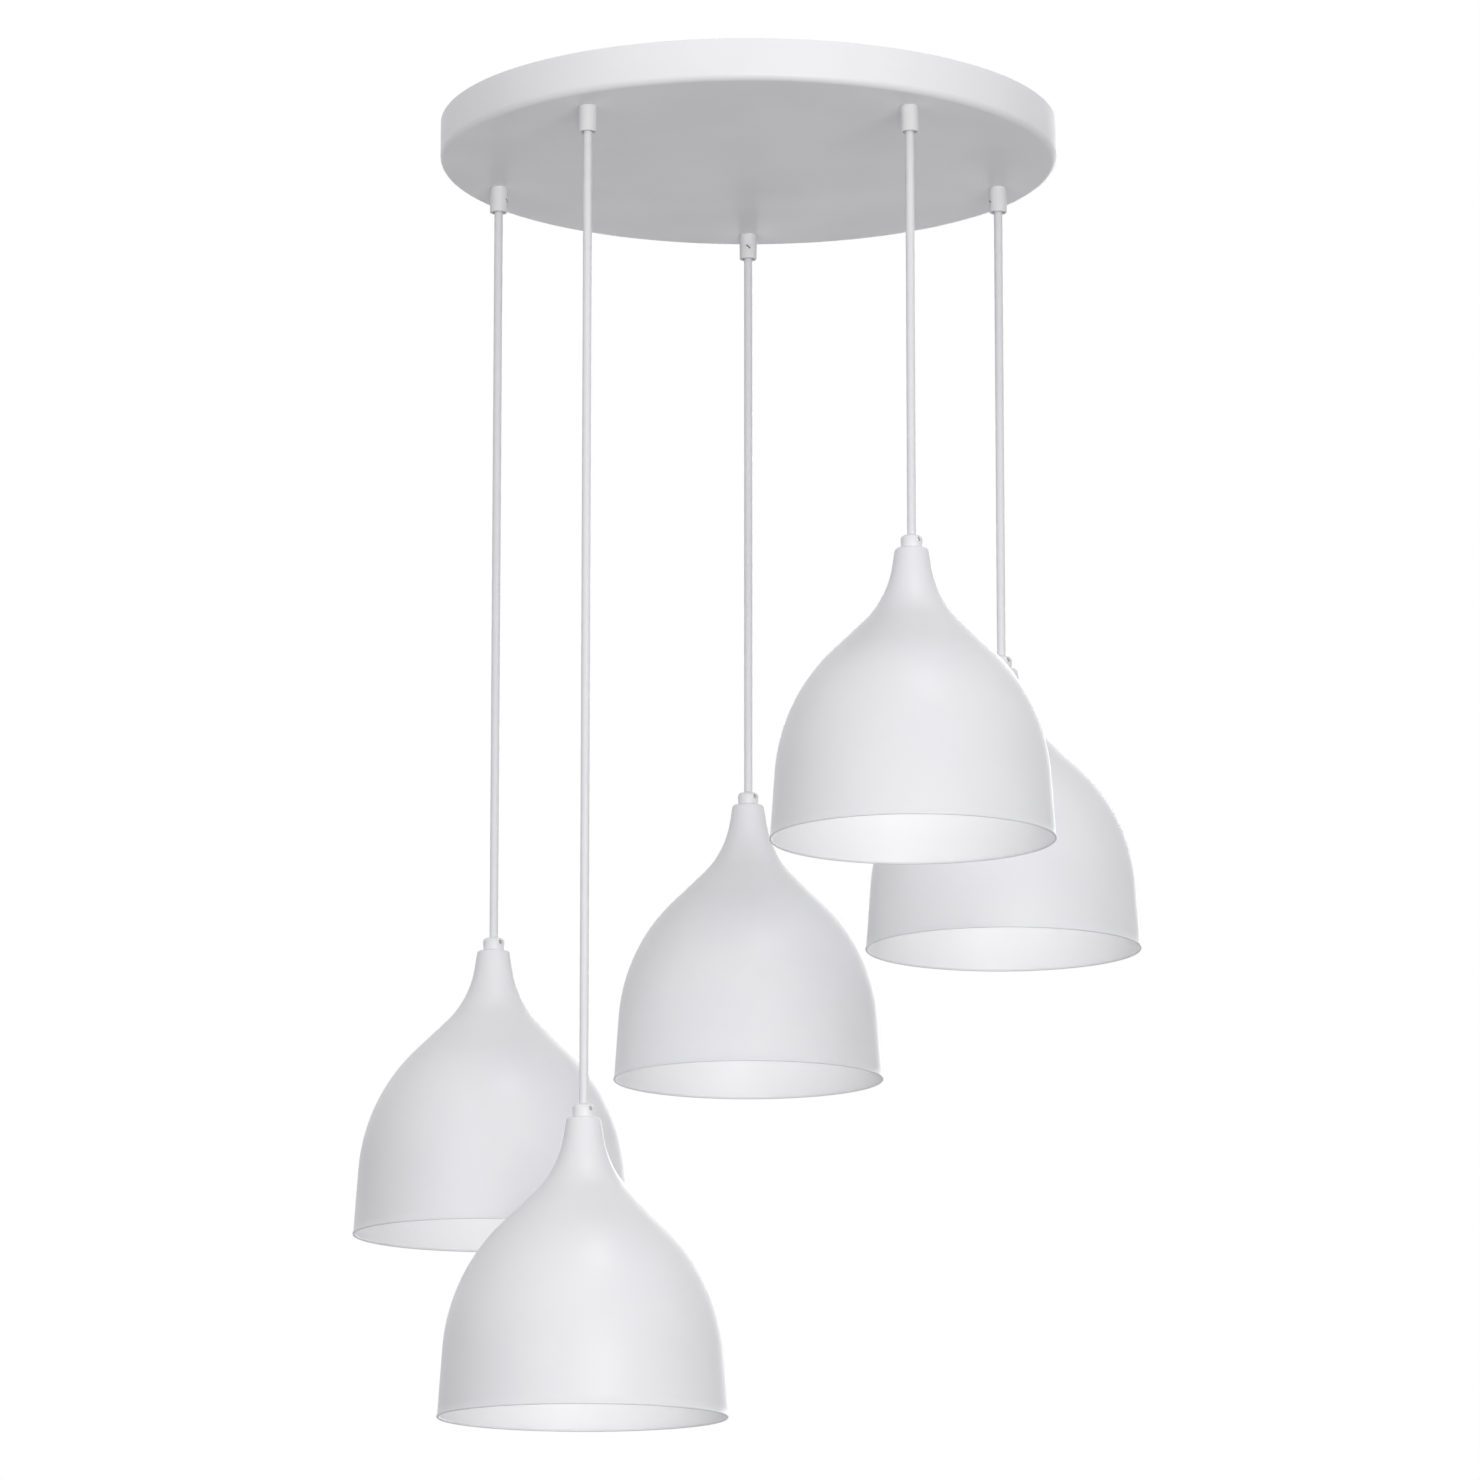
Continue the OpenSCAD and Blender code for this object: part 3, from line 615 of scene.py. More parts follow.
# Terminal box
# A moulded box on the canopy's floor in which the cords are joined to the supply, with its lid,
# its block of three brass terminals, the cords' ends that run into it, and the earth lead.
BOX_WHITE = (0.74, 0.74, 0.72, 1)
BOX_SHADOW = (0.7, 0.7, 0.68, 1)
BOX_EDGE = 0.3 * MM
BLOCK_WHITE = (0.78, 0.78, 0.77, 1)
TERMINAL_EDGE = 0.1 * MM
TAIL_BEND_R = 11 * MM
TAIL_END_R = 28.4 * MM
TAIL_RISE_STEPS, TAIL_BEND_STEPS, TAIL_RUN_STEPS = 4, 12, 6
EARTH_GREEN = (0.05, 0.3, 0.06, 1)
EARTH_YELLOW = (0.8, 0.66, 0.03, 1)
EARTH_YELLOW_SHADOW = (0.74, 0.6, 0.03, 1)
STRIPE_BLUR = 0.05 * MM
SLEEVE_WHITE = (0.7, 0.7, 0.66, 1)
SLEEVE_SHADOW = (0.64, 0.64, 0.6, 1)
TIN = (0.7, 0.69, 0.66, 1)
TIN_DARK = (0.6, 0.58, 0.54, 1)
TAG_R = 4.6 * MM
TAG_HOLE_R = 2.2 * MM
TAG_T = 0.8 * MM
TAG_EDGE = 0.2 * MM
TAG_NECK_W = 2 * MM
TAG_NECK_T = 0.7 * MM
LEAD_RISE = 3 * MM
TAG_NECK = [(TAG_R - 1.2 * MM, TAG_T / 2), (TAG_R + 0.2 * MM, TAG_T / 2),
            (TAG_R + 0.8 * MM, LEAD_RISE), (TAG_R + 3 * MM, LEAD_RISE)]
LEAD_R = 1.2 * MM
CORE_START = 1 * MM
SLEEVE_GAP = 1 * MM
SLEEVE_R = 1.7 * MM
SLEEVE_L = 7 * MM
SLEEVE_BITE = 0.2 * MM
SLEEVE_EDGE = 0.3 * MM


def joined(name, pieces, place=(0, 0, 0)):
    """One piece from several, which were made round a common place and keep their materials."""
    bm = bmesh.new()
    materials = []
    for piece in pieces:
        first = len(bm.faces)
        piece.data.transform(Matrix.Translation(piece.location))
        bm.from_mesh(piece.data)
        bm.faces.ensure_lookup_table()
        for face in bm.faces[first:]:
            material = piece.data.materials[face.material_index]
            if material not in materials:
                materials.append(material)
            face.material_index = materials.index(material)
        bpy.data.objects.remove(piece)
    whole = meshed(name, bm, place)
    for material in materials:
        whole.data.materials.append(material)
    return whole


def in_material(piece, *materials):
    """Gives a part of a joined piece its materials."""
    for material in materials:
        piece.data.materials.append(material)
    return piece


def swept(path, section, turn=0.0):
    """Bar along (out, height) points, turned round the upright line. Its section is a closed
    outline of (across, sideways) points."""
    bm = bmesh.new()
    rings = []
    for k, point in enumerate(path):
        along = Vector(path[min(k + 1, len(path) - 1)]) - Vector(path[max(k - 1, 0)])
        normal = along.orthogonal().normalized()
        ring = []
        for across, sideways in section:
            out, height = Vector(point) + across * normal
            ring.append(bm.verts.new((out, sideways, height)))
        rings.append(ring)
    for one, other in zip(rings, rings[1:]):
        for k in range(len(section)):
            n = (k + 1) % len(section)
            bm.faces.new((one[k], one[n], other[n], other[k]))
    bm.faces.new(rings[0])
    bm.faces.new(rings[-1])
    bmesh.ops.transform(bm, matrix=Matrix.Rotation(turn, 4, "Z"), verts=bm.verts)
    return meshed("swept", bm)


def strip(width, thickness):
    """Section of a strip of sheet metal."""
    return [(side * thickness / 2, half * width / 2)
            for side, half in ((1, -1), (1, 1), (-1, 1), (-1, -1))]


box_plastic = plastic("box_plastic", BOX_WHITE, BOX_SHADOW, roughness=0.45)
block_plastic = plastic("block_plastic", BLOCK_WHITE, BOX_WHITE, roughness=0.35)
kept("terminal_box", box_plastic, BOX_EDGE)
kept("terminal_lid", box_plastic, BOX_EDGE)
kept("terminal_block", block_plastic)
kept("terminal_metal", brass, TERMINAL_EDGE)

low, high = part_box("cord_tails")
tail_z = high.z - cord_r
turns = [2 * math.pi * k / CORD_SIDES for k in range(CORD_SIDES)]
round_section = [(cord_r * math.cos(turn), cord_r * math.sin(turn)) for turn in turns]
tails = []
for letter in LETTERS:
    x, y = middle(f"cord_{letter}").xy
    away = math.hypot(x, y)
    rise = tail_z - TAIL_BEND_R - low.z
    path = [(away, low.z + rise * k / TAIL_RISE_STEPS) for k in range(TAIL_RISE_STEPS)]
    for k in range(TAIL_BEND_STEPS + 1):
        bend = math.pi / 2 * k / TAIL_BEND_STEPS
        path.append((away - TAIL_BEND_R * (1 - math.cos(bend)),
                     tail_z - TAIL_BEND_R * (1 - math.sin(bend))))
    run_from = away - TAIL_BEND_R
    for k in range(1, TAIL_RUN_STEPS + 1):
        path.append((run_from + (TAIL_END_R - run_from) * k / TAIL_RUN_STEPS, tail_z))
    tails.append(in_material(swept(path, round_section, math.atan2(y, x)), sheath))
cord_tails = joined("cords_in_the_canopy", tails)
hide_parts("cord_tails")
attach(cord_tails, "canopy")

striped, tree, shader = new_material("earth_stripes")
surface = placed(tree, MOTTLED, {"Tone": EARTH_YELLOW, "Shadow tone": EARTH_YELLOW_SHADOW,
                                 "Roughness": 0.4, "Grain": 900})
across = tree.nodes.new("ShaderNodeSeparateXYZ")
tree.links.new(tree.nodes.new("ShaderNodeTexCoord").outputs["Object"], across.inputs[0])
green = ranged(tree, across.outputs["X"], 0, 1, start=-STRIPE_BLUR, end=STRIPE_BLUR)
tree.links.new(tinted(tree, green, surface["Color"], EARTH_GREEN), shader.inputs["Base Color"])
tree.links.new(surface["Roughness"], shader.inputs["Roughness"])
bumped(tree, shader, surface["Height"], PIT_DEPTH)
sleeve_plastic = plastic("tag_sleeve", SLEEVE_WHITE, SLEEVE_SHADOW, roughness=0.35)
tin = metal("tinned_copper", TIN, TIN_DARK, roughness=0.32)

low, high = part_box("earth_lead")
tag_y = low.y + TAG_R
sleeve_y = tag_y + TAG_R + SLEEVE_GAP
core_end = high.y - sleeve_y
tag = turned("tag", [(TAG_HOLE_R, 0), (TAG_R - TAG_EDGE, 0), (TAG_R, TAG_EDGE),
                     (TAG_R, TAG_T - TAG_EDGE), (TAG_R - TAG_EDGE, TAG_T), (TAG_HOLE_R, TAG_T)],
             sides=64)
neck = swept(TAG_NECK, strip(TAG_NECK_W, TAG_NECK_T), math.radians(90))
earth_tag = joined("earth_tag", [in_material(tag, tin), in_material(neck, tin)],
                   (0, tag_y, low.z))
painted(earth_tag, "brass", tin)
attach(earth_tag, "canopy")
sleeve = turned("sleeve", rounded([
    (LEAD_R - SLEEVE_BITE, 0, 0), (SLEEVE_R, 0, SLEEVE_EDGE), (SLEEVE_R, SLEEVE_L, SLEEVE_EDGE),
    (LEAD_R - SLEEVE_BITE, SLEEVE_L, 0)]), sides=40)
core = turned("core", [(0, CORE_START), (LEAD_R, CORE_START), (LEAD_R, core_end), (0, core_end)],
              sides=32, closed=False)
for part, material in ((sleeve, sleeve_plastic), (core, striped)):
    part.data.transform(Matrix.Rotation(math.radians(-90), 4, "X"))
    in_material(part, material)
earth_core = joined("earth_core", [sleeve, core], (0, sleeve_y, low.z + LEAD_RISE))
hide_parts("earth_lead")
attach(earth_core, "canopy")

# Cord grips
# Moulded white nylon glands that clamp each cord under the canopy: a barrel with a recessed mouth
# and a slotted set screw, on a hollow threaded shank that passes through the canopy's floor.
GRIP_R = 6.6 * MM
GRIP_TIP_R = 6.4 * MM
GRIP_EDGE = 0.6 * MM
FINE_EDGE = 0.2 * MM
MOUTH_R = 5.2 * MM
MOUTH_DEPTH = 2 * MM
BORE_R = 3.3 * MM
BORE_EDGE = 0.7 * MM
GRIP_SCREW_DROP = 10.5 * MM
GRIP_SCREW_HOLE_R = 2.05 * MM
GRIP_SCREW_R = 2 * MM
SLOT_TURN = math.radians(50)
# A screw's edge, its slot's half width and its slot's depth are shares of the screw's radius.
SCREW_EDGE, SLOT_HALF, SLOT_DEPTH = 0.2, 0.2, 0.5
SLOT_SLACK = 0.02
THREAD_R = 5 * MM
THREAD_DEPTH = 0.55 * MM
THREAD_PITCH = 1 * MM
# One turn of a thread: how far in and how far along each of its points lies.
THREAD_TURN = ((1, 0.05), (0, 0.45), (0, 0.55), (1, 0.95))
THREAD_FREE_LOW = 0.3 * MM
THREAD_FREE_HIGH = 0.4 * MM
NYLON_WHITE = (0.82, 0.82, 0.82, 1)
NYLON_SHADOW = (0.79, 0.79, 0.79, 1)
SCREW_WHITE = (0.8, 0.8, 0.8, 1)
SCREW_SHADOW = (0.74, 0.74, 0.74, 1)
# Painted shade: near-black colours for the recess of a set screw's slot.
PAINTED_SLOT_SHADE = (0.06, 0.06, 0.06, 1)
PAINTED_SLOT_SHADE_DEEP = (0.02, 0.02, 0.02, 1)


def thread(z_start, z_end):
    """Outline of a fine thread along the side from z_start to z_end."""
    turns = round(abs(z_end - z_start) / THREAD_PITCH)
    step = (z_end - z_start) / turns
    return [(THREAD_R - inward * THREAD_DEPTH, z_start + (k + along) * step)
            for k in range(turns) for inward, along in THREAD_TURN]


def slotted(radius, length, slot_turn):
    """Set screw that ends at the origin and runs down from it, its slot turned from the Y axis.
    The slot's faces get the second material, painted shade in the slot's recess."""
    edge, half, depth = SCREW_EDGE * radius, SLOT_HALF * radius, SLOT_DEPTH * radius
    screw = turned("screw", rounded([(0, 0, 0), (radius, 0, edge), (radius, -length, edge),
                                     (0, -length, 0)], steps=3), sides=48)
    bm = bmesh.new()
    bmesh.ops.create_cube(bm, size=1, matrix=Matrix.Rotation(slot_turn + math.pi / 2, 4, "Z")
                          @ Matrix.Diagonal((4 * radius, 2 * half, 2 * depth, 1)))
    cut(screw, [meshed("slot", bm)])
    across = Vector((math.cos(slot_turn), math.sin(slot_turn), 0))
    for face in screw.data.polygons:
        aside, down = abs(face.center.dot(across)) / half, -face.center.z / depth
        if aside < 1 + SLOT_SLACK and SLOT_SLACK < down < 1 + SLOT_SLACK:
            on_a_wall, on_the_bottom = abs(face.normal.z) < 0.1, down > 0.9
            if on_a_wall or on_the_bottom:
                face.material_index = 1
    return screw


nylon = plastic("grip_nylon", NYLON_WHITE, NYLON_SHADOW, roughness=0.48, grain=1100)
screw_paint = coated("painted_screw", SCREW_WHITE, SCREW_SHADOW, roughness=0.4, peel=1600)
# Painted shade that darkens the slot of each set screw.
slot_painted_shade = plastic("slot_shadow", PAINTED_SLOT_SHADE, PAINTED_SLOT_SHADE_DEEP, roughness=0.8, grain=2000, depth=0)
shank_foot = (THREAD_R - THREAD_DEPTH, 0)
screws = []

for letter in LETTERS:
    low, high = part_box(f"cord_grip_{letter}")
    x, y = middle(f"cord_grip_{letter}").xy
    mouth_z = low.z - underside_z
    shank_z = high.z - underside_z
    barrel = rounded([
        (MOUTH_R, mouth_z, FINE_EDGE), (GRIP_TIP_R, mouth_z, GRIP_EDGE), (GRIP_R, 0, GRIP_EDGE),
        (*shank_foot, 0), (THREAD_R - THREAD_DEPTH, shank_z, FINE_EDGE),
        (BORE_R, shank_z, FINE_EDGE), (BORE_R, mouth_z + MOUTH_DEPTH, BORE_EDGE),
        (MOUTH_R, mouth_z + MOUTH_DEPTH, FINE_EDGE)])
    after_foot = barrel.index(shank_foot) + 1
    barrel[after_foot:after_foot] = thread(THREAD_FREE_LOW, shank_z - THREAD_FREE_HIGH)
    grip = turned(f"grip_{letter}", barrel, (x, y, underside_z), sides=64)
    inward = -Vector((x, y, 0)).normalized()
    centre = Vector((0, 0, -GRIP_SCREW_DROP))
    drill = rod(centre, centre + inward * 2 * GRIP_R, GRIP_SCREW_HOLE_R)
    drill.location = grip.location
    cut(grip, [drill])
    painted(grip, "white_nylon", nylon)
    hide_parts(f"cord_grip_{letter}")
    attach(grip, "canopy")
    end_r = GRIP_TIP_R + (GRIP_R - GRIP_TIP_R) * (1 - GRIP_SCREW_DROP / -mouth_z)
    screw = slotted(GRIP_SCREW_R, end_r - BORE_R, SLOT_TURN)
    screw.data.transform(Matrix.Translation(Vector((x, y, underside_z)) + centre + inward * end_r)
                         @ inward.to_track_quat("Z", "Y").to_matrix().to_4x4())
    screws.append(in_material(screw, screw_paint, slot_painted_shade))

set_screws = joined("grip_set_screws", screws)
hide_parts("grip_screws")
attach(set_screws, "canopy")

# Collars
# Turned and coated collars that close each shade's neck round its cord: a domed edge, a side that
# draws in a little, an undercut at the foot, and a slotted set screw in the side.
COLLAR_R = 8 * MM
COLLAR_FOOT_R = 7.4 * MM
COLLAR_EDGE = 3 * MM
COLLAR_BORE_EDGE = 0.3 * MM
UNDERCUT = 0.8 * MM
UNDERCUT_EDGE = 0.15 * MM
COLLAR_BORE_R = 5.05 * MM
TUBE_TOP = 4 * MM
COLLAR_SCREW_H = 6 * MM
COLLAR_SCREW_HOLE_R = 1.55 * MM
COLLAR_SCREW_TURN = math.radians(-50)
COLLAR_WHITE = (0.84, 0.84, 0.85, 1)
FASTENER_EDGE = 0.12 * MM

collar_coat = coated("collar_coat", COLLAR_WHITE, PAINT_SHADOW, roughness=0.38, peel=1300,
                     depth=0.015 * MM)
undercut_r = COLLAR_FOOT_R - UNDERCUT / 2
outward = Vector((math.cos(COLLAR_SCREW_TURN), math.sin(COLLAR_SCREW_TURN), 0))
centre = Vector((0, 0, COLLAR_SCREW_H))

for letter in LETTERS:
    low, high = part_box(f"collar_{letter}")
    x, y = middle(f"cord_{letter}").xy
    collar_h = high.z - low.z
    collar = turned(f"collar_{letter}_turned", rounded([
        (BORE_R, collar_h, COLLAR_BORE_EDGE), (COLLAR_R, collar_h, COLLAR_EDGE),
        (COLLAR_FOOT_R, UNDERCUT, UNDERCUT_EDGE), (undercut_r, UNDERCUT, 0), (undercut_r, 0, 0),
        (COLLAR_BORE_R, 0, 0), (COLLAR_BORE_R, TUBE_TOP, 0), (BORE_R, TUBE_TOP, 0)], steps=8),
        (x, y, low.z), sides=80)
    drill = rod(centre, centre + outward * 2 * COLLAR_R, COLLAR_SCREW_HOLE_R)
    drill.location = collar.location
    cut(collar, [drill])
    painted(collar, "collar_white", collar_coat)
    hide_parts(f"collar_{letter}")
    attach(collar, f"pendant_{letter}")
    kept(f"fasteners_{letter}", steel, FASTENER_EDGE)

# Shades
# Bells spun from one millimetre steel sheet, with a bead rolled at the rim, powder coated white
# inside and out. Spinning leaves fine rings round the sheet that the coat doesn't quite hide.
SHADE_WALL = 1 * MM
NECK_R = 12 * MM
NECK_H = 13 * MM
NECK_TAPER = 9
TOP_EDGE_R = 2 * MM
FLARE_R = 70 * MM
FLANK_ANGLE = 46
FLANK_LEN = 30 * MM
LIP_ANGLE = 4
BEAD_R = 0.9 * MM
BEAD_OUT = 0.5 * MM
BEAD_STEPS = 20
SHADE_HOLE_R = 5.2 * MM
# The lining is a whiter copy of the outer coat: partly a whiter paint inside, partly painted light
# that brightens the bells' insides.
LINING_WHITE = (0.95, 0.95, 0.955, 1)
LINING_SHADOW = (0.93, 0.93, 0.94, 1)


def carry_on(side, heading, radius, steps):
    """Carries a side of (out, drop, heading) points along an arc. Heading 0 is down, 90 out."""
    out, drop, start = side[-1]
    turn = 1 if heading > start else -1
    for k in range(1, steps + 1):
        h = start + (heading - start) * k / steps
        a, b = math.radians(start), math.radians(h)
        side.append((out + turn * radius * (math.cos(a) - math.cos(b)),
                     drop + turn * radius * (math.sin(b) - math.sin(a)), h))


def go_on(side, length, steps):
    """Carries a side straight on for a length."""
    out, drop, heading = side[-1]
    a = math.radians(heading)
    for k in range(1, steps + 1):
        along = length * k / steps
        side.append((out + along * math.sin(a), drop + along * math.cos(a), heading))


def outer_face(side):
    """Outline of a side from its top down."""
    return [(out, -drop) for out, drop, heading in side]


def inner_face(side, wall):
    """Outline of the inner face of a side with an even wall, from its foot up."""
    return [(out - wall * math.cos(math.radians(heading)),
             -(drop + wall * math.sin(math.radians(heading)))) for out, drop, heading in side[::-1]]


def bell_side(rim_r, height):
    """Outer side of a bell from its flat top to its bead. The shoulder's radius makes it end
    there."""
    taper = math.radians(NECK_TAPER)
    side = [(NECK_R - TOP_EDGE_R * math.cos(taper), 0, 90)]
    carry_on(side, NECK_TAPER, TOP_EDGE_R, steps=8)
    go_on(side, (NECK_H - side[-1][1]) / math.cos(taper), steps=3)
    carry_on(side, FLANK_ANGLE, FLARE_R, steps=24)
    go_on(side, FLANK_LEN, steps=6)
    flank, lip = math.radians(FLANK_ANGLE), math.radians(LIP_ANGLE)
    out_left = rim_r - BEAD_OUT - side[-1][0]
    down_left = height - BEAD_R - side[-1][1]
    arc_out, arc_down = math.cos(lip) - math.cos(flank), math.sin(flank) - math.sin(lip)
    det = arc_out * math.cos(lip) - math.sin(lip) * arc_down
    shoulder_r = (out_left * math.cos(lip) - math.sin(lip) * down_left) / det
    carry_on(side, LIP_ANGLE, shoulder_r, steps=36)
    go_on(side, (height - 2 * BEAD_R - side[-1][1]) / math.cos(lip), steps=10)
    return side


def rings_group():
    """Spinning rings: low ridges that run round an upright piece and fade in and out."""
    group, given, out = new_group(
        "spun_rings",
        {"Place": ("NodeSocketVector", None), "Rings": ("NodeSocketFloat", 500)},
        {"Height": "NodeSocketFloat"})
    tall = stretched(group, given["Place"], factors=(0.012, 0.012, 1))
    ridges = noise(group, tall, given["Rings"], detail=3)
    patches = ranged(group, noise(group, given["Place"], scale=25), 0.2, 1)
    group.links.new(combined(group, "MULTIPLY", ridges, patches), out["Height"])
    return group


SPUN_RINGS = rings_group()


def spun_coat(name, paint, shadow, roughness, depth):
    """Powder coat over the spinning's rings."""
    material, tree, shader = new_material(name)
    coat = placed(tree, POWDER_COAT, {"Paint": paint, "Shadow": shadow,
                                      "Roughness": roughness, "Peel": 800})
    rings = placed(tree, SPUN_RINGS, {"Rings": 420})
    relief = sum_of(tree, rings["Height"], coat["Height"], share=0.35)
    finished(tree, shader, coat, depth, relief)
    return material


bell_coat = spun_coat("bell_coat", PAINT_WHITE, PAINT_SHADOW, roughness=0.36, depth=0.03 * MM)
# The lining's extra white is partly painted light for the bells' insides.
bell_lining = spun_coat("bell_lining", LINING_WHITE, LINING_SHADOW, roughness=0.5,
                        depth=0.02 * MM)
bead_out = math.acos((BEAD_R - BEAD_OUT) / BEAD_R)
bead_in = -math.pi - math.acos((SHADE_WALL + BEAD_OUT - BEAD_R) / BEAD_R)

for letter in LETTERS:
    low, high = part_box(f"shade_{letter}")
    x, y = middle(f"cord_{letter}").xy
    rim_r, height = (high.y - low.y) / 2, high.z - low.z
    side = bell_side(rim_r, height)
    bead = []
    for k in range(BEAD_STEPS + 1):
        a = bead_out + (bead_in - bead_out) * k / BEAD_STEPS
        bead.append((rim_r - BEAD_R + BEAD_R * math.cos(a),
                     -height + BEAD_R + BEAD_R * math.sin(a)))
    outside = [(SHADE_HOLE_R, 0)] + outer_face(side) + bead
    outline = outside + inner_face(side, SHADE_WALL) + [(SHADE_HOLE_R, -SHADE_WALL)]
    shade = turned(f"bell_{letter}", outline, (x, y, high.z), sides=192,
                   lining=range(len(outside) - 1, len(outline) - 1))
    painted(shade, "shade_white", bell_coat, bell_lining)
    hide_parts(f"shade_{letter}")
    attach(shade, f"pendant_{letter}")
    left_out(passed, shade)

# Threaded tubes
# Hollow tubes with a fine thread over their whole length, which carry each lamp holder and shade
# from the collar and let the cord down to the terminals.
TUBE_BORE_R = 3.5 * MM

for letter in LETTERS:
    low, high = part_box(f"threaded_tube_{letter}")
    x, y = middle(f"cord_{letter}").xy
    length = high.z - low.z
    outline = thread(0, -length) + [(TUBE_BORE_R, -length), (TUBE_BORE_R, 0)]
    tube = turned(f"tube_{letter}", outline, (x, y, high.z), sides=40)
    painted(tube, "zinc_steel", zinc)
    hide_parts(f"threaded_tube_{letter}")
    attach(tube, f"pendant_{letter}")

# Lamp holders
# Two-part moulded holders: a domed cap on the threaded tube, and a skirt screwed on it that holds
# the rolled brass shell, the sprung middle contact and two riveted terminals on its floor.
HOLDER_WHITE = (0.8, 0.8, 0.78, 1)
HOLDER_SHADOW = (0.76, 0.76, 0.74, 1)
HOLDER_WALL = 2 * MM
BOSS_R = 9 * MM
BOSS_H = 3 * MM
BOSS_L = 8 * MM
BOSS_EDGE = 1 * MM
CAP_BORE_R = THREAD_R + 0.05 * MM
CAP_LIP = 2 * MM
CAP_EDGE = 0.2 * MM
SKIRT_BORE_R = 14 * MM
SKIRT_BORE_EDGE = 0.5 * MM
SKIRT_TOP_EDGE = 0.3 * MM
SKIRT_FOOT_EDGE = 1 * MM
SKIRT_FLOOR_LOW, SKIRT_FLOOR_HIGH = -10 * MM, -7 * MM
SKIRT_RINGS = 19
SKIRT_RING_GAP = 0.75 * MM
FLUTES = 30
FLUTE_DEPTH = 0.5 * MM
FLUTE_FADE = 1.5 * MM
FLUTES_LOW, FLUTES_HIGH = -14 * MM, -2 * MM
SHELL_R = 13.8 * MM
SHELL_L = 22 * MM
SHELL_DROP = 2 * MM
SHELL_PITCH = 3.6 * MM
SHELL_DEPTH = 1.1 * MM
SHELL_WALL = 0.5 * MM
SHELL_RINGS = 70
SPRING_T = 0.5 * MM
TONGUE_W = 6 * MM
TONGUE = [(out * MM, height * MM) for out, height in (
    (10.5, -0.3), (6.5, -0.3), (5.2, -0.6), (3.6, -1.5), (1.6, -2.6), (0, -2.9), (-1.8, -2.7),
    (-3.2, -1.9))]
STRAP_W = 5 * MM
STRAP = [(out * MM, height * MM) for out, height in (
    (-5.5, -0.3), (-12.4, -0.3), (-13.2, -0.6), (-13.45, -1.4), (-13.45, -4.5))]
POINT_Z = -2.9 * MM
POINT = [(r * MM, height * MM) for r, height in (
    (0, 0), (1.9, 0), (1.7, -0.5), (1.1, -0.9), (0, -1.1))]
RIVET_OUT = 8.5 * MM
RIVET = [(r * MM, height * MM) for r, height in (
    (0, -1.5), (1.2, -1.4), (2.2, -1.1), (2.8, -0.55), (1.5, -0.5), (1.5, 3), (3, 3), (3, 5),
    (0, 5))]

holder_plastic = plastic("holder_plastic", HOLDER_WHITE, HOLDER_SHADOW, roughness=0.28, grain=700,
                         depth=0.004 * MM)

# The five holders are alike, and the first gives their sizes.
low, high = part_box("holder_cap_a")
cap_r, cap_h = (high.y - low.y) / 2, high.z - low.z
dome_h = cap_h - BOSS_H - CAP_LIP
dome_start = 2 * math.degrees(math.atan((cap_r - BOSS_R) / dome_h))
dome = [(BOSS_R, BOSS_H, dome_start)]
carry_on(dome, 0, dome_h / math.sin(math.radians(dome_start)), steps=14)
cap_outline = [(CAP_BORE_R, 0), (BOSS_R - BOSS_EDGE, 0), (BOSS_R, -BOSS_EDGE)]
cap_outline += outer_face(dome)
cap_outline += [(cap_r, -cap_h + CAP_EDGE), (cap_r - CAP_EDGE, -cap_h),
                (cap_r - HOLDER_WALL, -cap_h)]
cap_outline += inner_face(dome, HOLDER_WALL)
cap_outline += [(BOSS_R - HOLDER_WALL, -BOSS_L), (CAP_BORE_R, -BOSS_L)]

low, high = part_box("holder_skirt_a")
skirt_r, skirt_h = (high.y - low.y) / 2, high.z - low.z
skirt_outline = [(0, SKIRT_FLOOR_HIGH), (skirt_r - HOLDER_WALL, SKIRT_FLOOR_HIGH),
                 (skirt_r - HOLDER_WALL, 0), (skirt_r - SKIRT_TOP_EDGE, 0),
                 (skirt_r, -SKIRT_TOP_EDGE)]
skirt_outline += [(skirt_r, -k * SKIRT_RING_GAP) for k in range(1, SKIRT_RINGS + 1)]
skirt_outline += [(skirt_r, -skirt_h + SKIRT_FOOT_EDGE),
                  (skirt_r - SKIRT_TOP_EDGE, -skirt_h + SKIRT_TOP_EDGE),
                  (skirt_r - SKIRT_FOOT_EDGE, -skirt_h), (SKIRT_BORE_R + SKIRT_BORE_EDGE, -skirt_h),
                  (SKIRT_BORE_R, -skirt_h + SKIRT_BORE_EDGE), (SKIRT_BORE_R, SKIRT_FLOOR_LOW),
                  (0, SKIRT_FLOOR_LOW)]

levels = [-SHELL_L * k / SHELL_RINGS for k in range(SHELL_RINGS + 1)]
shell_outline = [(SHELL_R, z) for z in levels]
shell_outline += [(SHELL_R - SHELL_WALL, z) for z in levels[::-1]]


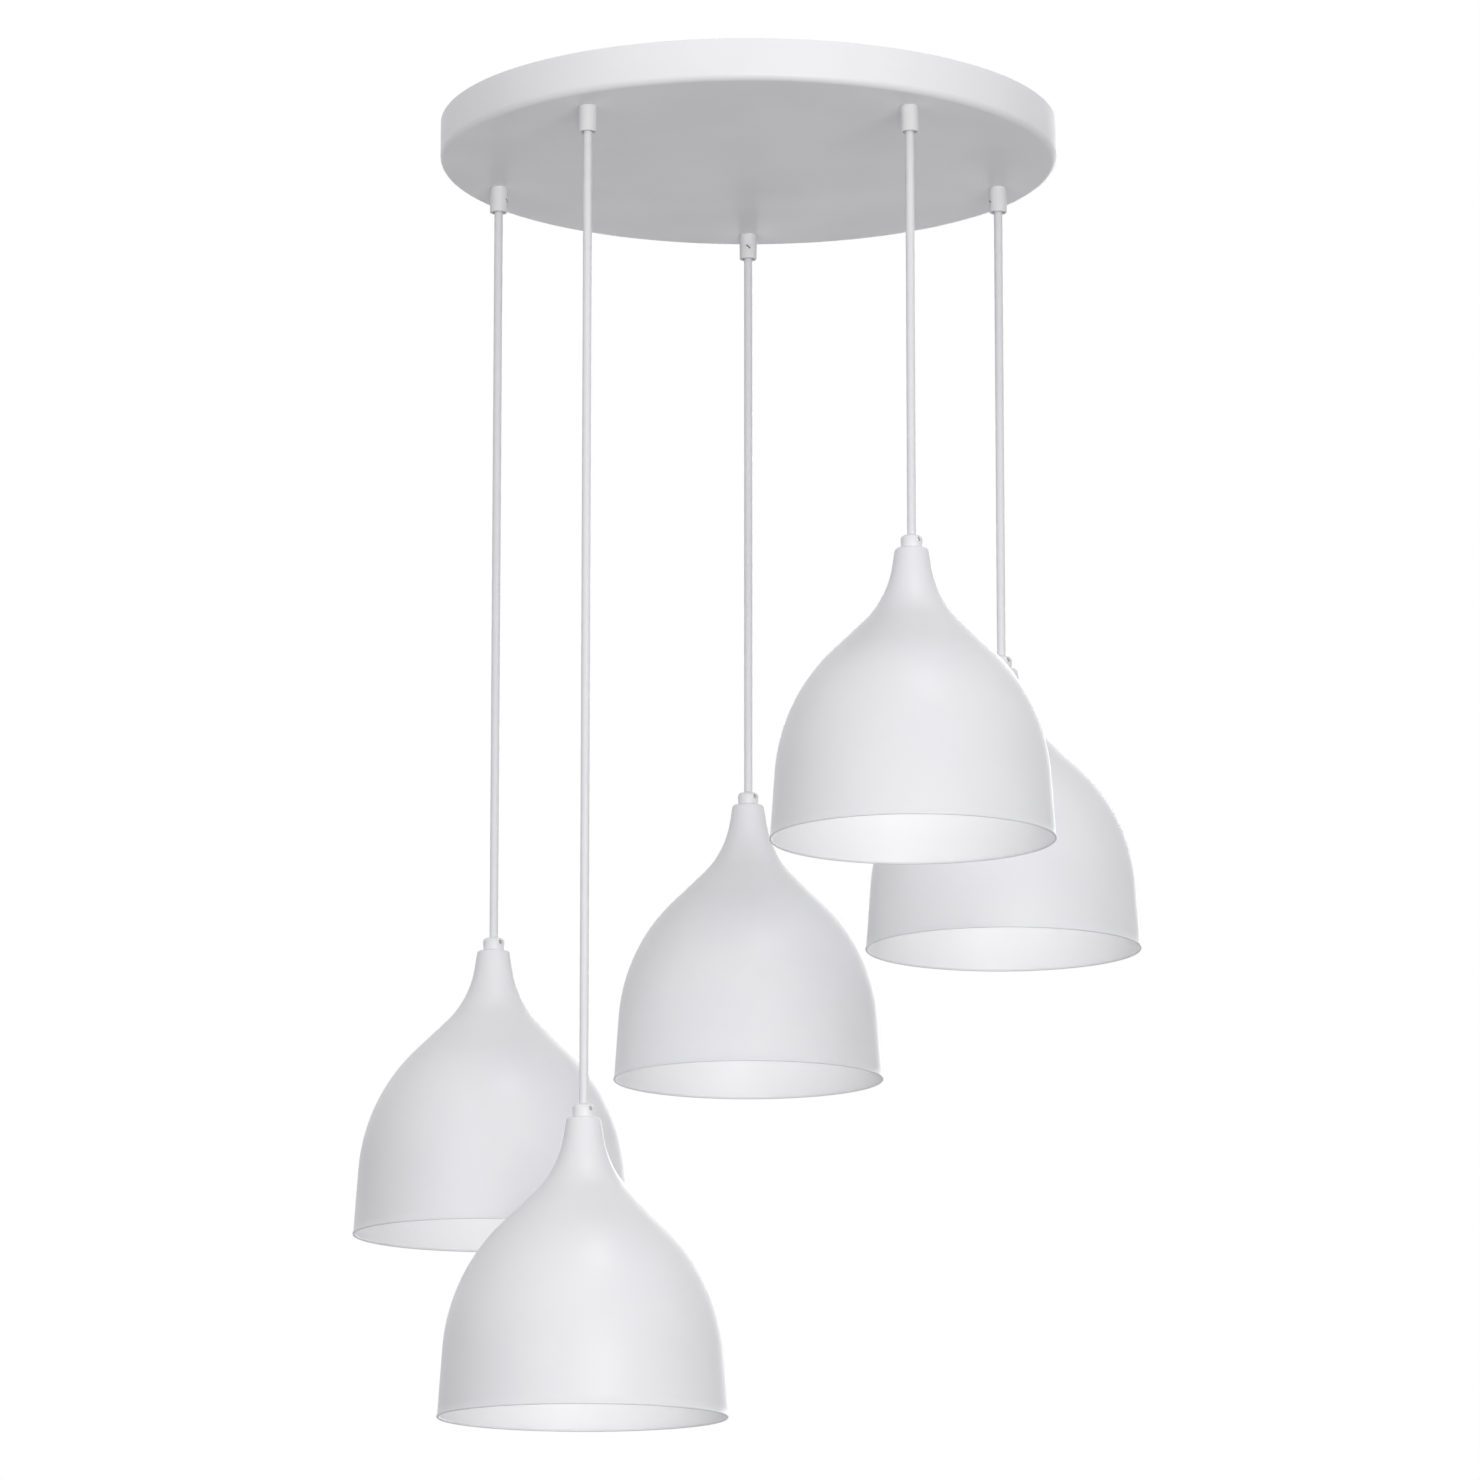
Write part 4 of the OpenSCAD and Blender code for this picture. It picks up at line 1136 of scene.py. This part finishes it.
def flutes(angle, radius, height):
    """Grip flutes over the upper third of the skirt's side."""
    if radius < skirt_r - 0.1 * MM or not FLUTES_LOW < height < FLUTES_HIGH:
        return 0
    fade = min(1, (height - FLUTES_LOW) / FLUTE_FADE, (FLUTES_HIGH - height) / FLUTE_FADE)
    return -FLUTE_DEPTH * fade * (1 - abs(math.sin(FLUTES * angle / 2)))


def rolled(angle, radius, height):
    """The round lamp thread that is rolled into the shell, fading towards its ends."""
    fade = max(0, min(1, -height / SHELL_PITCH, (height + SHELL_L) / SHELL_PITCH))
    wave = 0.5 + 0.5 * math.cos(angle - 2 * math.pi * height / SHELL_PITCH)
    return -SHELL_DEPTH * fade * wave


for letter in LETTERS:
    x, y = middle(f"cord_{letter}").xy
    cap_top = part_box(f"holder_cap_{letter}")[1].z
    cap = turned(f"cap_{letter}", cap_outline, (x, y, cap_top), sides=120)
    painted(cap, "holder_white", holder_plastic)
    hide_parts(f"holder_cap_{letter}")
    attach(cap, f"pendant_{letter}")

    skirt_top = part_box(f"holder_skirt_{letter}")[1].z
    skirt = turned(f"skirt_{letter}", skirt_outline, (x, y, skirt_top), sides=360, ripple=flutes)
    painted(skirt, "holder_white", holder_plastic)
    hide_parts(f"holder_skirt_{letter}")
    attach(skirt, f"pendant_{letter}")

    contact_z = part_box(f"holder_contacts_{letter}")[0].z + SHELL_L + SHELL_DROP
    turn = math.atan2(y, x)
    across = Vector((math.cos(turn), math.sin(turn), 0))
    parts = [turned("shell", shell_outline, (0, 0, -SHELL_DROP), ripple=rolled),
             swept(TONGUE, strip(TONGUE_W, SPRING_T), turn),
             swept(STRAP, strip(STRAP_W, SPRING_T), turn),
             turned("point", POINT, (0, 0, POINT_Z), sides=32, closed=False)]
    for side in (-1, 1):
        parts.append(turned("rivet", RIVET, side * RIVET_OUT * across, sides=32))
    contacts = joined(f"contacts_{letter}", [in_material(part, brass) for part in parts],
                      (x, y, contact_z))
    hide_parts(f"holder_contacts_{letter}")
    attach(contacts, f"pendant_{letter}")
